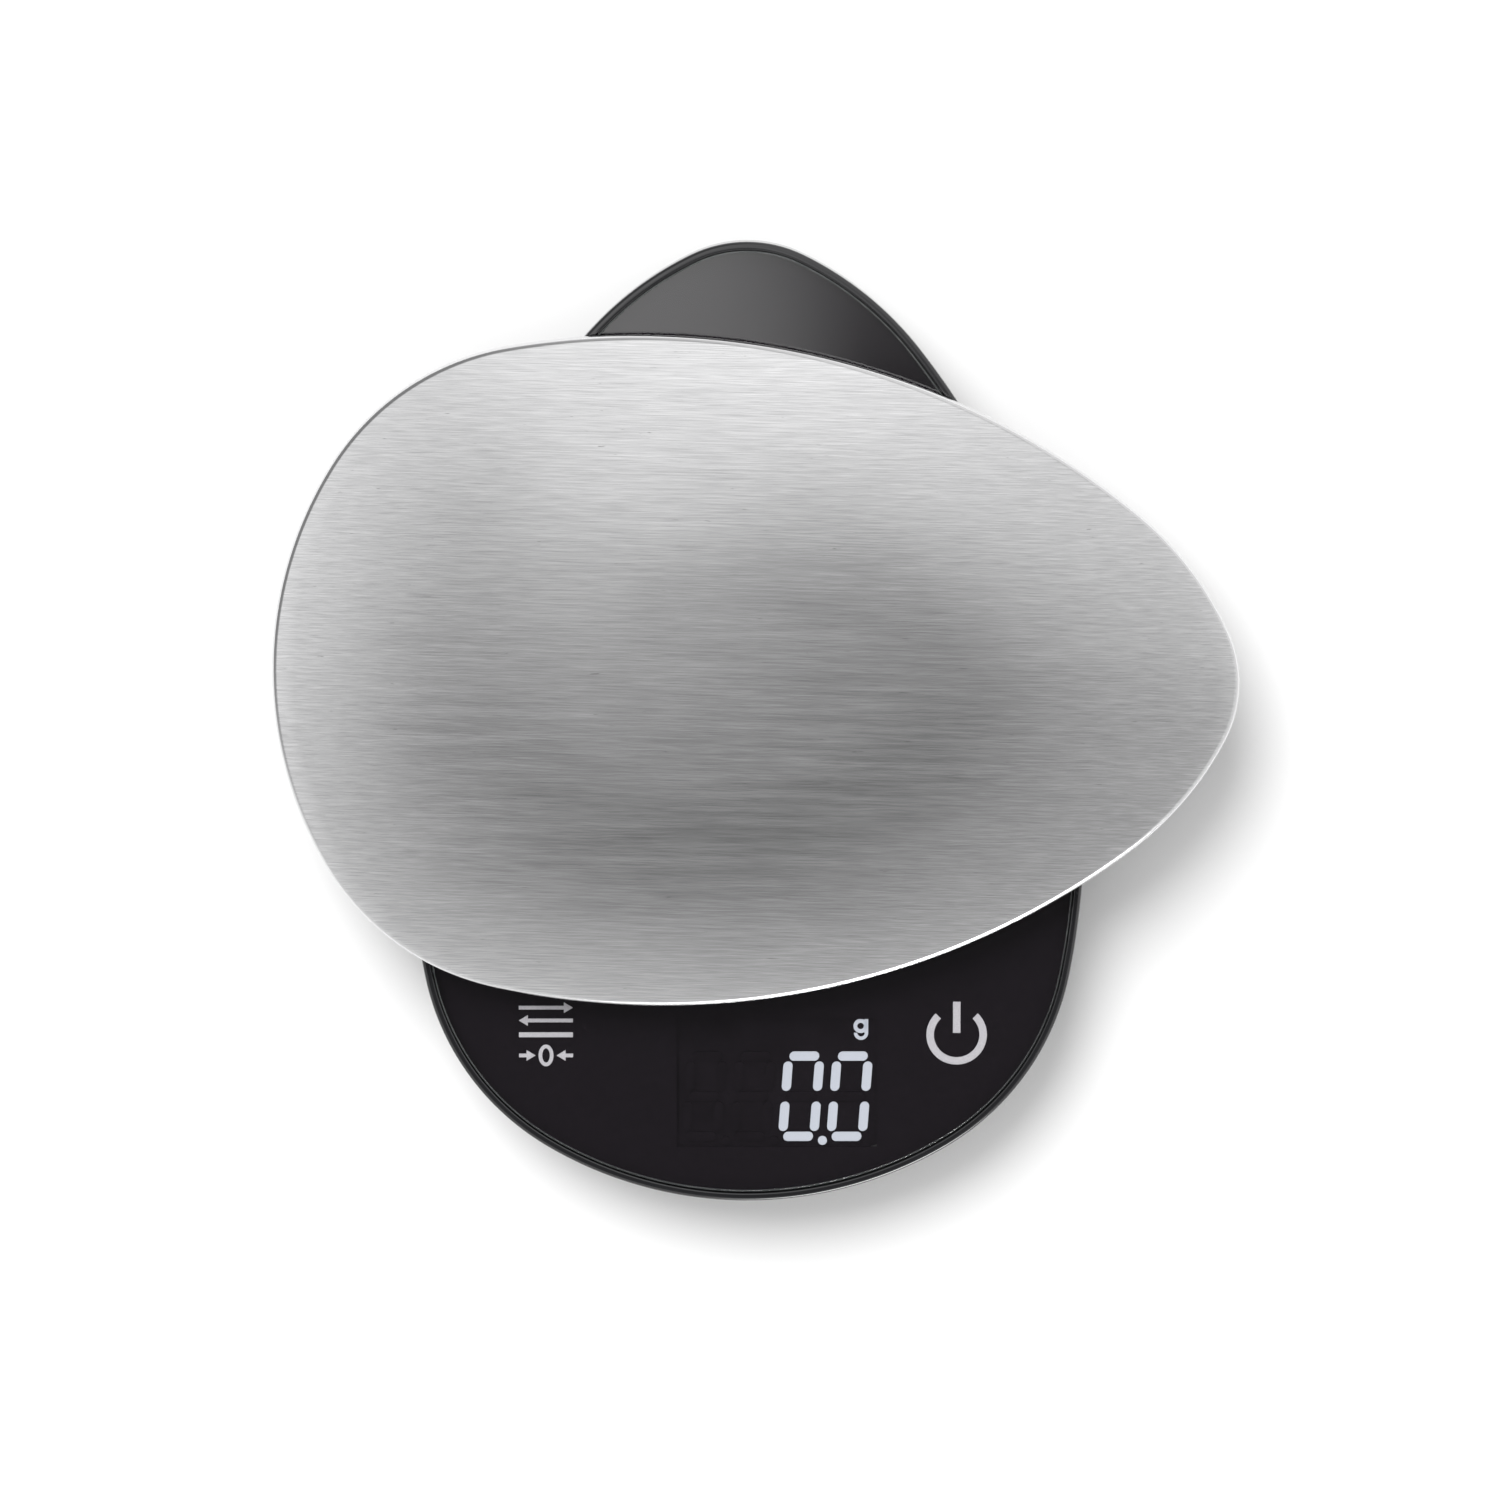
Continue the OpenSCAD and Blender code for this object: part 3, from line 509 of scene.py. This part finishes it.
def print_grey():
    """Light grey print of the touch symbols."""
    finish = Finish("print_grey", (0.48, 0.48, 0.485), 0.7)
    finish.vary_colour(finish.noise(3000, 3), (0.56, 0.56, 0.565))
    return finish.material


def lit_segment():
    """Glowing bar of the readout."""
    finish = Finish("segment_lit", (0.26, 0.28, 0.3), 0.4, Emission_Color=(0.86, 0.92, 1, 1),
                    Emission_Strength=0.47)
    finish.vary_roughness(finish.noise(800, 2), 0.08)
    return finish.material


def plain(name, colour, roughness, metallic=0.0, *, scale, other=None, wave=0.06, depth=0.01, **sockets):
    """A finish with a little variation in colour, roughness and height."""
    finish = Finish(name, colour, roughness, metallic, **sockets)
    grain = finish.noise(scale, 4)
    finish.vary_colour(finish.noise(scale / 5, 3), other or tuple(c * 0.8 for c in colour))
    finish.vary_roughness(grain, wave)
    finish.bump(grain, depth * MM, 0.5)
    return finish.material


def board_green():
    """Solder resist with the faint relief of copper tracks below it."""
    finish = Finish("board_green", (0.015, 0.11, 0.045), 0.35)
    tracks = finish.nodes.new("ShaderNodeTexBrick")
    tracks.inputs["Scale"].default_value = 260
    tracks.inputs["Color1"].default_value = (0, 0, 0, 1)
    tracks.inputs["Color2"].default_value = (0.4, 0.4, 0.4, 1)
    tracks.inputs["Mortar"].default_value = (1, 1, 1, 1)
    finish.link(finish.coordinates, tracks.inputs["Vector"])
    finish.vary_colour(tracks.outputs["Color"], (0.03, 0.17, 0.07), 0, 1)
    finish.bump(tracks.outputs["Color"], 0.03 * MM, 0.4)
    return finish.material


BRUSHED_PLATE = brushed_plate()
POLISHED_STEEL = polished_steel()
GLOSS_BLACK = gloss_black()
MATTE_BLACK = matte_black()
BLACK_GLASS = black_glass()
GLASS_EDGE = glass_edge()
PRINT_BLACK = print_black()
PRINT_GREY = print_grey()
LIT_SEGMENT = lit_segment()
BEHIND_PANEL = (0.0116, 0.0096, 0.012)
DARK_SEGMENT = plain("segment_dark", BEHIND_PANEL, 0.6, scale=800, Specular_IOR_Level=0)
MODULE_BLACK = plain("module_black", BEHIND_PANEL, 0.6, scale=700, Specular_IOR_Level=0)
BOARD_GREEN = board_green()
SCREW_STEEL = plain("screw_steel", (0.6, 0.6, 0.61), 0.3, 1.0, scale=900)
BEAM_ALUMINIUM = plain("beam_aluminium", (0.75, 0.75, 0.76), 0.36, 1.0, scale=1200)
CONTACT_NICKEL = plain("contact_nickel", (0.68, 0.65, 0.6), 0.22, 1.0, scale=600)
FOOT_RUBBER = plain("foot_rubber", (0.075, 0.075, 0.078), 0.85, scale=1800,
                    other=(0.095, 0.095, 0.097), wave=0.08, depth=0.03)
TOUCH_FOAM = plain("touch_foam", (0.05, 0.05, 0.052), 0.95, scale=3000, depth=0.1)
TAPE_CREAM = plain("tape_cream", (0.72, 0.7, 0.62), 0.6, scale=700)
TAPE_BLACK = plain("tape_black", (0.02, 0.02, 0.02), 0.7, scale=700)
WHITE_PLASTIC = plain("white_plastic", (0.78, 0.77, 0.72), 0.42, scale=1500)
POTTING_WHITE = plain("potting_white", (0.8, 0.8, 0.76), 0.35, scale=250, depth=0.15)
WIRE_RED = plain("wire_red", (0.45, 0.03, 0.025), 0.4, scale=900)
WIRE_BLACK = plain("wire_black", (0.02, 0.02, 0.02), 0.4, scale=900)
CELL_SLEEVE = plain("cell_sleeve", (0.045, 0.10, 0.085), 0.28, 0.3, scale=200)


# ---- Platform ----

plate_low, plate_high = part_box("platform_plate")
PLATE_THICK = 0.8 * MM
# Rise of the plate's middle over its margin, and the share of its outline that stays flat
CROWN_H = 1.2 * MM
FLAT_SHARE = 0.3
# Radius of the rolled edge
ROLL_R = 1.0 * MM


def crown(share):
    """Height of the plate's upper face on the outline shrunk to a share."""
    return plate_high.z - CROWN_H * (max(share - FLAT_SHARE, 0) / (1 - FLAT_SHARE)) ** 2


def platform_plate():
    """Steel plate: crowned top, rolled edge, hanging skirt with a rounded lip, and its underside."""
    skirt_z = plate_low.z
    edge_z = crown(1)
    top_steps, roll_steps = 28, 12
    first_share = 0.03
    shares = [first_share + (1 - first_share) * k / top_steps for k in range(top_steps + 1)]
    rings = [ring(ROLL_R, crown(s), s) for s in shares]
    for k in range(1, roll_steps + 1):
        a = math.pi / 2 * k / roll_steps
        rings.append(ring(ROLL_R * (1 - math.sin(a)), edge_z - ROLL_R * (1 - math.cos(a))))
    lip = 0.15 * MM
    rings.append(ring(0, skirt_z + lip))
    rings.append(ring(lip, skirt_z))
    rings.append(ring(PLATE_THICK - lip, skirt_z))
    rings.append(ring(PLATE_THICK, skirt_z + lip))
    rings.append(ring(PLATE_THICK, edge_z - ROLL_R - 0.2 * MM))
    # The underside follows the top in fewer steps
    under_inset = ROLL_R + 0.3 * MM
    for s in reversed(shares[4::6]):
        rings.append(ring(under_inset, crown(s) - PLATE_THICK, s))
    piece = to_object(loft(rings), "platform_plate_fine", TO_OPEN @ CLOSED, sharp=40)
    long_axis = Vector((math.sin(OPEN_TURN), math.cos(OPEN_TURN), 0))
    across = Vector((-long_axis.y, long_axis.x, 0))
    # The brushing's direction, for the stretched highlights
    layer = piece.data.uv_layers.new(name="across")
    uv_scale = 5
    for loop in piece.data.loops:
        p = piece.data.vertices[loop.vertex_index].co
        layer.data[loop.index].uv = (p.dot(across) * uv_scale, p.dot(long_axis) * uv_scale)
    dress(piece, "platform_plate", "brushed_plate", BRUSHED_PLATE, POLISHED_STEEL)
    for face in piece.data.polygons:
        face.material_index = 0 if face.normal.z > 0.9 and face.center.z > edge_z - 0.3 * MM else 1
    return piece


# ---- Base: housing and panel ----

glass_low, glass_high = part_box("glass_panel")
mask_low, mask_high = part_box("panel_mask")
RIM_Z = cover_high.z
# Top and underside of the cover's deck, which the glass is bonded to
DECK_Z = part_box("panel_tape")[0].z
DECK_UNDER_Z = DECK_Z - 1.4 * MM
COVER_WALL = 1.5 * MM
# Parting line between the two housings
SPLIT_Z = 12.4 * MM
RIM_W = 1.55 * MM
RIM_ROUND = 0.6 * MM
GLASS_INSET = glass_low.x - cover_low.x - BASE_MARGIN
# Hole for the platform's hub, in the glass and in the deck
HUB_HOLE_R = 16.8 * MM
DECK_HOLE_R = HUB_HOLE_R + 0.7 * MM
# Gap that keeps the print off the glass
PRINT_GAP = 0.02 * MM


def module_block(edge, z0, z1):
    """The readout's body, grown by edge on its four sides."""
    low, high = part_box("display_module")
    corners = rectangle((low + high) / 2, high.x - low.x + 2 * edge, high.y - low.y + 2 * edge)
    return prism(corners, z0, z1)


def glass_panel():
    """Glass with a ground bevel round its upper edge and a hole for the hub."""
    top, bottom = glass_high.z, glass_low.z
    chamfer, drop, soft = 0.25 * MM, 0.25 * MM, 0.04 * MM
    rings = [
        ring(GLASS_INSET + chamfer + 2 * soft, top),
        ring(GLASS_INSET + chamfer + soft / 2, top - soft / 4),
        ring(GLASS_INSET + soft, top - drop + soft / 2),
        ring(GLASS_INSET, top - drop - soft),
        ring(GLASS_INSET, bottom + soft),
        ring(GLASS_INSET + soft, bottom),
        round_ring(HUB_HOLE_R, bottom),
        round_ring(HUB_HOLE_R, top),
    ]
    piece = to_object(loft(rings, closed=True), "glass_panel_fine", CLOSED, sharp=50)
    even_shading(piece)
    dress(piece, "glass_panel", "black_glass", BLACK_GLASS, GLASS_EDGE)
    for face in piece.data.polygons:
        face.material_index = 1 if abs(face.normal.z) < 0.98 else 0
    return piece


# The screws' node, the boss's radius, its bore's radius, its lower end and the end of its bore
SCREW_BOSSES = [
    ("housing_screws", 3.6 * MM, 1.55 * MM, 7.2 * MM, 13.4 * MM),
    ("board_screws", 2.6 * MM, 1.05 * MM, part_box("main_board")[1].z, 14 * MM),
]


def top_cover():
    """Rounded glossy rim, the side wall, the deck under the glass and the screw bosses."""
    # Distance in from the side and height, from the glass out over the rim and down the side
    rim_round = [(RIM_W - 0.05 * MM, RIM_Z - 0.1 * MM), (RIM_W - 0.15 * MM, RIM_Z - 0.02 * MM),
                 (RIM_W - 0.3 * MM, RIM_Z)]
    steps = 10
    for k in range(steps + 1):
        a = math.pi / 2 * k / steps
        rim_round.append((RIM_ROUND * (1 - math.sin(a)), RIM_Z - RIM_ROUND * (1 - math.cos(a))))
    side = [(0, SPLIT_Z + 0.35 * MM), (0.35 * MM, SPLIT_Z)]
    rings = [round_ring(DECK_HOLE_R, DECK_Z), ring(RIM_W - BASE_MARGIN, DECK_Z)]
    rings += [ring(inset - BASE_MARGIN, z) for inset, z in rim_round + side]
    rings += [ring(COVER_WALL, SPLIT_Z), ring(COVER_WALL, DECK_UNDER_Z)]
    rings += [round_ring(DECK_HOLE_R, DECK_UNDER_Z)]
    piece = to_object(loft(rings, closed=True), "top_cover_fine", CLOSED, sharp=32)
    pads_low, pads_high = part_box("touch_pads")
    pad_y = (pads_low.y + pads_high.y) / 2
    pad_r = (pads_high.y - pads_low.y) / 2
    cut_z = DECK_Z - 5 * MM
    bosses, openings = [], [module_block(0.5 * MM, cut_z, DECK_Z + 0.05 * MM)]
    for node, outer_r, bore_r, start_z, end_z in SCREW_BOSSES:
        for x, y in solid_middles(node):
            bosses.append(cylinder(x, y, outer_r, start_z, DECK_UNDER_Z + 0.1 * MM, 48))
            openings.append(cylinder(x, y, bore_r, start_z - 1 * MM, end_z, 32))
    cut(piece, [joined(bosses)], "UNION")
    for x in (pads_low.x + pad_r, pads_high.x - pad_r):
        openings.append(cylinder(x, pad_y, pad_r + 1.5 * MM, cut_z, DECK_Z + 1 * MM))
    cut(piece, openings)
    even_shading(piece)
    return dress(piece, "top_cover", "gloss_black", GLOSS_BLACK)


# Power sign: ring, stroke, half of the ring's gap, and both ends of its bar above the ring's middle
POWER_R = 6.05 * MM
POWER_STROKE = 1.5 * MM
POWER_GAP = math.radians(44)
POWER_BAR = (0.4 * MM, 6.7 * MM)
# Change sign over a line, zero sign below it: width, the line's height, and how far off the signs lie
UNIT_W = 10.8 * MM
UNIT_LINE = 1.0 * MM
UNIT_OFFSET = 4.2 * MM
ZERO_SIZE = (1.5 * MM, 2.2 * MM, 0.75 * MM)


def arrow(middle, length, side):
    """Arrow towards side, centred."""
    head, half_head, half_stem = 1.8 * MM, 1.1 * MM, 0.38 * MM
    tip = length / 2
    shape = [(-tip, -half_stem), (tip - head, -half_stem), (tip - head, -half_head), (tip, 0),
             (tip - head, half_head), (tip - head, half_stem), (-tip, half_stem)]
    return [(middle.x + side * x, middle.y + y) for x, y in shape]


def power_sign(middle):
    """Open ring and its bar."""
    steps = 60
    turns = [POWER_GAP + (2 * math.pi - 2 * POWER_GAP) * k / steps for k in range(steps + 1)]

    def arc(radius, directions):
        return [(middle.x + radius * math.sin(a), middle.y + radius * math.cos(a)) for a in directions]

    opened = arc(POWER_R, turns) + arc(POWER_R - POWER_STROKE, reversed(turns))
    bar_low, bar_top = POWER_BAR
    bar = [(middle.x + side * POWER_STROKE / 2, middle.y + y)
           for side, y in ((-1, bar_low), (1, bar_low), (1, bar_top), (-1, bar_top))]
    return [opened, bar]


def legend_prisms(z0, z1):
    """The two printed touch symbols as closed prisms."""
    low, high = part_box("panel_legends")
    power = Vector((high.x - POWER_R, high.y - POWER_BAR[1]))
    unit = Vector((low.x + UNIT_W / 2, power.y))
    shapes = power_sign(power) + [rectangle(unit, UNIT_W, UNIT_LINE)]
    for side in (-1, 1):
        shapes.append(arrow(unit + Vector((0, UNIT_OFFSET + side * 1.3 * MM)), UNIT_W, side))
        shapes.append(arrow(unit + Vector((side * 3.75 * MM, -UNIT_OFFSET)), 3.3 * MM, -side))
    zero = oval_tube(unit - Vector((0, UNIT_OFFSET)), *ZERO_SIZE, z0, z1)
    return [prism(s, z0, z1) for s in shapes] + [zero]


def panel_legends():
    """The printed symbols, in the openings of the black film."""
    low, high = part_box("panel_legends")
    piece = to_object(joined(legend_prisms(low.z, high.z - PRINT_GAP)), "panel_legends_fine")
    return dress(piece, "panel_legends", "print_grey", PRINT_GREY)


def panel_mask():
    """Print film under the glass, open at the readout and the symbols."""
    inset = GLASS_INSET + 0.1 * MM
    top = mask_high.z - PRINT_GAP
    rings = [ring(inset, top), ring(inset, mask_low.z), round_ring(HUB_HOLE_R, mask_low.z),
             round_ring(HUB_HOLE_R, top)]
    piece = to_object(loft(rings, closed=True), "panel_mask_fine", CLOSED)
    below, above = mask_low.z - 1 * MM, mask_high.z + 1 * MM
    cut(piece, [module_block(-0.6 * MM, below, above)] + legend_prisms(below, above))
    even_shading(piece)
    return dress(piece, "panel_mask", "print_black", PRINT_BLACK)


# ---- Readout ----

STROKE = 1.85 * MM
DIGIT_W = 8.1 * MM
DIGIT_H = 18.2 * MM
DIGIT_PITCH = 9.7 * MM
DIGIT_SLANT = math.tan(math.radians(4.3))
# Half of the straight part of a bar
RUN = 2.05 * MM
# Middle of the four digits, from the base's middle
READOUT_X = 6 * MM
# Radius of the point, and its place from the lower corner between two digits
POINT_R = 0.9 * MM
POINT_SHIFT = Vector((-0.6, 0.1)) * MM
# Middle of the unit's letter, from the base's and the digits' middle
UNIT_SIGN = (22.7 * MM, 13.6 * MM)


def segment(a, b, middle):
    """Stadium from a to b, slanted about the digit's middle."""
    direction = math.atan2(b.y - a.y, b.x - a.x)
    steps = 20
    half = [direction - math.pi / 2 + math.pi * k / steps for k in range(steps + 1)]
    end = [Vector((math.cos(t), math.sin(t))) * STROKE / 2 for t in half]
    corners = [b + p for p in end] + [a - p for p in end]
    return [(middle.x + p.x + p.y * DIGIT_SLANT, middle.y + p.y) for p in corners]


def digit_segments(middle, wanted):
    """The wanted bars of one digit: top, right two, bottom, left two, middle."""
    x, y = (DIGIT_W - STROKE) / 2, (DIGIT_H - STROKE) / 2
    m = y / 2
    ends = [((-RUN, y), (RUN, y)), ((x, m + RUN), (x, m - RUN)), ((x, RUN - m), (x, -RUN - m)),
            ((RUN, -y), (-RUN, -y)), ((-x, -RUN - m), (-x, RUN - m)), ((-x, m - RUN), (-x, m + RUN)),
            ((-RUN, 0), (RUN, 0))]
    return [segment(Vector(ends[k][0]), Vector(ends[k][1]), middle) for k in wanted]


def readout_middle():
    """Middle of the four digits, measured from the top of the unlit ones."""
    low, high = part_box("digits_dark")
    return Vector((BASE_MIDDLE.x + READOUT_X, high.y - DIGIT_H / 2))


def digit_middle(middle, slot):
    """Middle of one of the four digits, counted from the left."""
    return middle + Vector(((slot - 1.5) * DIGIT_PITCH, 0))


def point_after(middle, slot):
    """The point at the foot of a digit, on its right."""
    corner = Vector((middle.x + (slot - 1) * DIGIT_PITCH, middle.y - DIGIT_H / 2))
    return oval_points(corner + POINT_SHIFT, POINT_R, POINT_R, 40)


def gram_sign(middle, z0, z1):
    """Small letter of the unit: a bowl, a stem on its right and a tail that hooks to the left."""
    bowl_r, bowl_y, stroke = 1.42 * MM, 0.7 * MM, 0.76 * MM
    overlap, steps = 0.1 * MM, 24
    x, y = BASE_MIDDLE.x + UNIT_SIGN[0], middle.y + UNIT_SIGN[1]
    bowl = oval_tube((x, y + bowl_y), bowl_r, bowl_r, stroke, z0, z1)
    stem_x = x + bowl_r - stroke + overlap
    stem = prism([(stem_x, y - bowl_y), (stem_x + stroke, y - bowl_y),
                  (stem_x + stroke, y + bowl_y + bowl_r), (stem_x, y + bowl_y + bowl_r)], z0, z1)
    turns = [-math.pi * k / steps for k in range(steps + 1)]
    inner_r = bowl_r - stroke + overlap
    tail_x, tail_y = x + overlap, y - bowl_y
    tail = [(tail_x + bowl_r * math.cos(a), tail_y + bowl_r * math.sin(a)) for a in turns]
    tail += [(tail_x + inner_r * math.cos(a), tail_y + inner_r * math.sin(a)) for a in reversed(turns)]
    return [bowl, stem, prism(tail, z0, z1)]


def readout(node, slot, material, digits, points, unit=False):
    """Bars of some digits (place from the left, wanted bars), points after digits, and the unit."""
    low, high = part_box(node)
    middle = readout_middle()
    shapes = [s for place, wanted in digits for s in digit_segments(digit_middle(middle, place), wanted)]
    shapes += [point_after(middle, place) for place in points]
    parts = [prism(s, low.z, high.z) for s in shapes]
    if unit:
        parts += gram_sign(middle, low.z, high.z)
    piece = to_object(joined(parts), node + "_fine")
    return dress(piece, node, slot, material)


# ---- Build the pieces ----

platform_plate()
glass_panel()
top_cover()
panel_mask()
panel_legends()
readout("digits_lit", "segment_lit", LIT_SEGMENT, [(2, range(6)), (3, range(6))], [2], unit=True)
readout("digits_dark", "segment_dark", DARK_SEGMENT,
        [(0, range(7)), (1, range(7)), (2, [6]), (3, [6])], [0, 1])

# node: its material slot, its material and the softening of its edges in millimetres
CARRIED = {
    "base_tray": ("matte_black", MATTE_BLACK, 0.15),
    "battery_door": ("matte_black", MATTE_BLACK, 0.12),
    "platform_carrier": ("matte_black", MATTE_BLACK, 0.15),
    "platform_hub": ("white_plastic", WHITE_PLASTIC, 0.15),
    "rubber_feet": ("foot_rubber", FOOT_RUBBER, 0.15),
    "housing_screws": ("screw_steel", SCREW_STEEL, 0.1),
    "display_module": ("matte_black", MODULE_BLACK, 0.1),
    "panel_tape": ("tape_black", TAPE_BLACK, 0),
    "main_board": ("board_green", BOARD_GREEN, 0.1),
    "board_chips": ("matte_black", MATTE_BLACK, 0.1),
    "board_screws": ("screw_steel", SCREW_STEEL, 0.1),
    "touch_pads": ("touch_foam", TOUCH_FOAM, 0.2),
    "wire_sockets": ("white_plastic", WHITE_PLASTIC, 0.15),
    "load_cell": ("beam_aluminium", BEAM_ALUMINIUM, 0.15),
    "load_cell_screws": ("screw_steel", SCREW_STEEL, 0.1),
    "gauge_potting": ("potting_white", POTTING_WHITE, 0.3),
    "gauge_wires": ("wire_red", WIRE_RED, 0),
    "battery_wires": ("wire_black", WIRE_BLACK, 0),
    "battery_cells": ("cell_sleeve", CELL_SLEEVE, 0.25),
    "battery_plates": ("contact_nickel", CONTACT_NICKEL, 0.1),
    "battery_springs": ("contact_nickel", CONTACT_NICKEL, 0),
    "spindle_spacer": ("beam_aluminium", BEAM_ALUMINIUM, 0.1),
    "spindle": ("screw_steel", SCREW_STEEL, 0.1),
    "spindle_screws": ("screw_steel", SCREW_STEEL, 0.08),
    "thrust_washer": ("white_plastic", WHITE_PLASTIC, 0.08),
    "disc_spring": ("contact_nickel", CONTACT_NICKEL, 0.05),
    "retaining_washer": ("screw_steel", SCREW_STEEL, 0.1),
    "retaining_screw": ("screw_steel", SCREW_STEEL, 0.1),
    "platform_tape": ("tape", TAPE_CREAM, 0.1),
    "hub_screws": ("screw_steel", SCREW_STEEL, 0.1),
    "stop_pin": ("screw_steel", SCREW_STEEL, 0.1),
}
for node, (slot, material, edge) in CARRIED.items():
    dress(refined(node, edge * MM), node, slot, material)

# ---- Camera ----

# Lean from straight above towards +Y, and distance from the point it looks at
CAMERA_TILT = math.radians(7.82)
CAMERA_DISTANCE = 1.2089
LENS_MM = 146.2
LOOK_AT = Vector((0.59, -4.87, 18.5)) * MM
target = Vector((BASE_MIDDLE.x, BASE_MIDDLE.y, 0)) + LOOK_AT
camera = bpy.data.objects.new("camera", bpy.data.cameras.new("camera"))
bpy.context.scene.collection.objects.link(camera)
camera.location = target + CAMERA_DISTANCE * Vector((0, math.sin(CAMERA_TILT), math.cos(CAMERA_TILT)))
camera.rotation_euler = (-CAMERA_TILT, 0, 0)
camera.data.sensor_width = 36
camera.data.lens = LENS_MM
camera.data.clip_start = 0.01
bpy.context.scene.camera = camera

# ---- Studio ----

FLOOR_SIZE = 20
SUN_ENERGY = 3.7
SUN_WIDTH = math.radians(39)
SUN_FROM = Vector((-0.42, 0.78, 1))
DOME_LEVEL = 0.95
DOME_LEAST = 0.05


def floor():
    """Plain pale paper."""
    bm = bmesh.new()
    bmesh.ops.create_grid(bm, x_segments=1, y_segments=1, size=FLOOR_SIZE)
    plane = to_object(bm, "floor")
    finish = Finish("floor_paper", (0.7, 0.7, 0.7), 0.9)
    finish.bump(finish.noise(300, 2), 0.02 * MM, 0.2)
    plane.data.materials.append(finish.material)


def key_light():
    """Broad soft light from above, behind and a little to the left."""
    light = bpy.data.lights.new("key", "SUN")
    light.energy = SUN_ENERGY
    light.angle = SUN_WIDTH
    lamp = bpy.data.objects.new("key", light)
    lamp.rotation_euler = SUN_FROM.to_track_quat("Z", "Y").to_euler()
    lamp.visible_glossy = False
    bpy.context.scene.collection.objects.link(lamp)


def towards(x_degrees, y_degrees):
    """Unit vector from the object, tilted from straight up towards +X and +Y."""
    x, y = math.tan(math.radians(x_degrees)), math.tan(math.radians(y_degrees))
    return Vector((x, y, 1)).normalized()


def studio_dome():
    """Pale dome. What mirrors it sees a dark opening overhead and soft panels around it."""
    world = bpy.data.worlds.new("studio")
    bpy.context.scene.world = world
    world.use_nodes = True
    nodes, links = world.node_tree.nodes, world.node_tree.links
    direction = nodes.new("ShaderNodeTexCoord").outputs["Generated"]

    def patch(aim, inner, outer, level):
        """A soft round patch of the dome: level inside, nothing outside."""
        dot = nodes.new("ShaderNodeVectorMath")
        dot.operation = "DOT_PRODUCT"
        dot.inputs[1].default_value = aim
        links.new(direction, dot.inputs[0])
        fade = nodes.new("ShaderNodeMapRange")
        fade.interpolation_type = "SMOOTHSTEP"
        fade.inputs["From Min"].default_value = math.cos(math.radians(outer))
        fade.inputs["From Max"].default_value = math.cos(math.radians(inner))
        fade.inputs["To Min"].default_value = 0
        fade.inputs["To Max"].default_value = level
        links.new(dot.outputs["Value"], fade.inputs["Value"])
        return fade.outputs["Result"]

    def background(strength):
        """White dome of one strength."""
        made = nodes.new("ShaderNodeBackground")
        made.inputs["Color"].default_value = (1, 1, 1, 1)
        made.inputs["Strength"].default_value = strength
        return made

    def chosen(test, no, yes):
        """One of two shaders, by the kind of ray."""
        mix = nodes.new("ShaderNodeMixShader")
        links.new(ray.outputs[test], mix.inputs["Fac"])
        links.new(no, mix.inputs[1])
        links.new(yes, mix.inputs[2])
        return mix.outputs["Shader"]

    patches = [
        # The dark opening that the middle of the plate and the front of the glass mirror
        patch(towards(-1.9, -7.8), 3.3, 7.2, -0.93),
        patch(towards(4.5, -11), 3, 8.5, -0.52),
        # Panels mirrored by the plate's back margin, its left end and the glass at the base's tip
        patch(towards(0, 5), 2, 9, 0.6),
        patch(towards(-10, -3.5), 2.5, 6.8, 0.42),
        patch(towards(-1.6, -4.4), 0.4, 3.0, 1.45),
        # Dark side behind left, and a lamp in front, mirrored by the rounded rims
        patch(Vector((-0.75, 0.5, 0.5)).normalized(), 30, 62, -0.65),
        patch(Vector((0.25, -0.85, 0.5)).normalized(), 5, 20, 14),
    ]
    total = None
    for output in patches:
        add = nodes.new("ShaderNodeMath")
        add.operation = "ADD"
        add.inputs[1].default_value = DOME_LEVEL
        if total:
            links.new(total, add.inputs[1])
        links.new(output, add.inputs[0])
        total = add.outputs["Value"]
    least = nodes.new("ShaderNodeMath")
    least.operation = "MAXIMUM"
    least.inputs[1].default_value = DOME_LEAST
    links.new(total, least.inputs[0])
    mirrored = background(1)
    links.new(least.outputs["Value"], mirrored.inputs["Strength"])
    ray = nodes.new("ShaderNodeLightPath")
    lighting, backdrop = background(DOME_LEVEL), background(1)
    lit = chosen("Is Glossy Ray", lighting.outputs["Background"], mirrored.outputs["Background"])
    shown = chosen("Is Camera Ray", lit, backdrop.outputs["Background"])
    links.new(shown, nodes["World Output"].inputs["Surface"])


floor()
key_light()
studio_dome()
bpy.context.scene.view_settings.view_transform = "Standard"
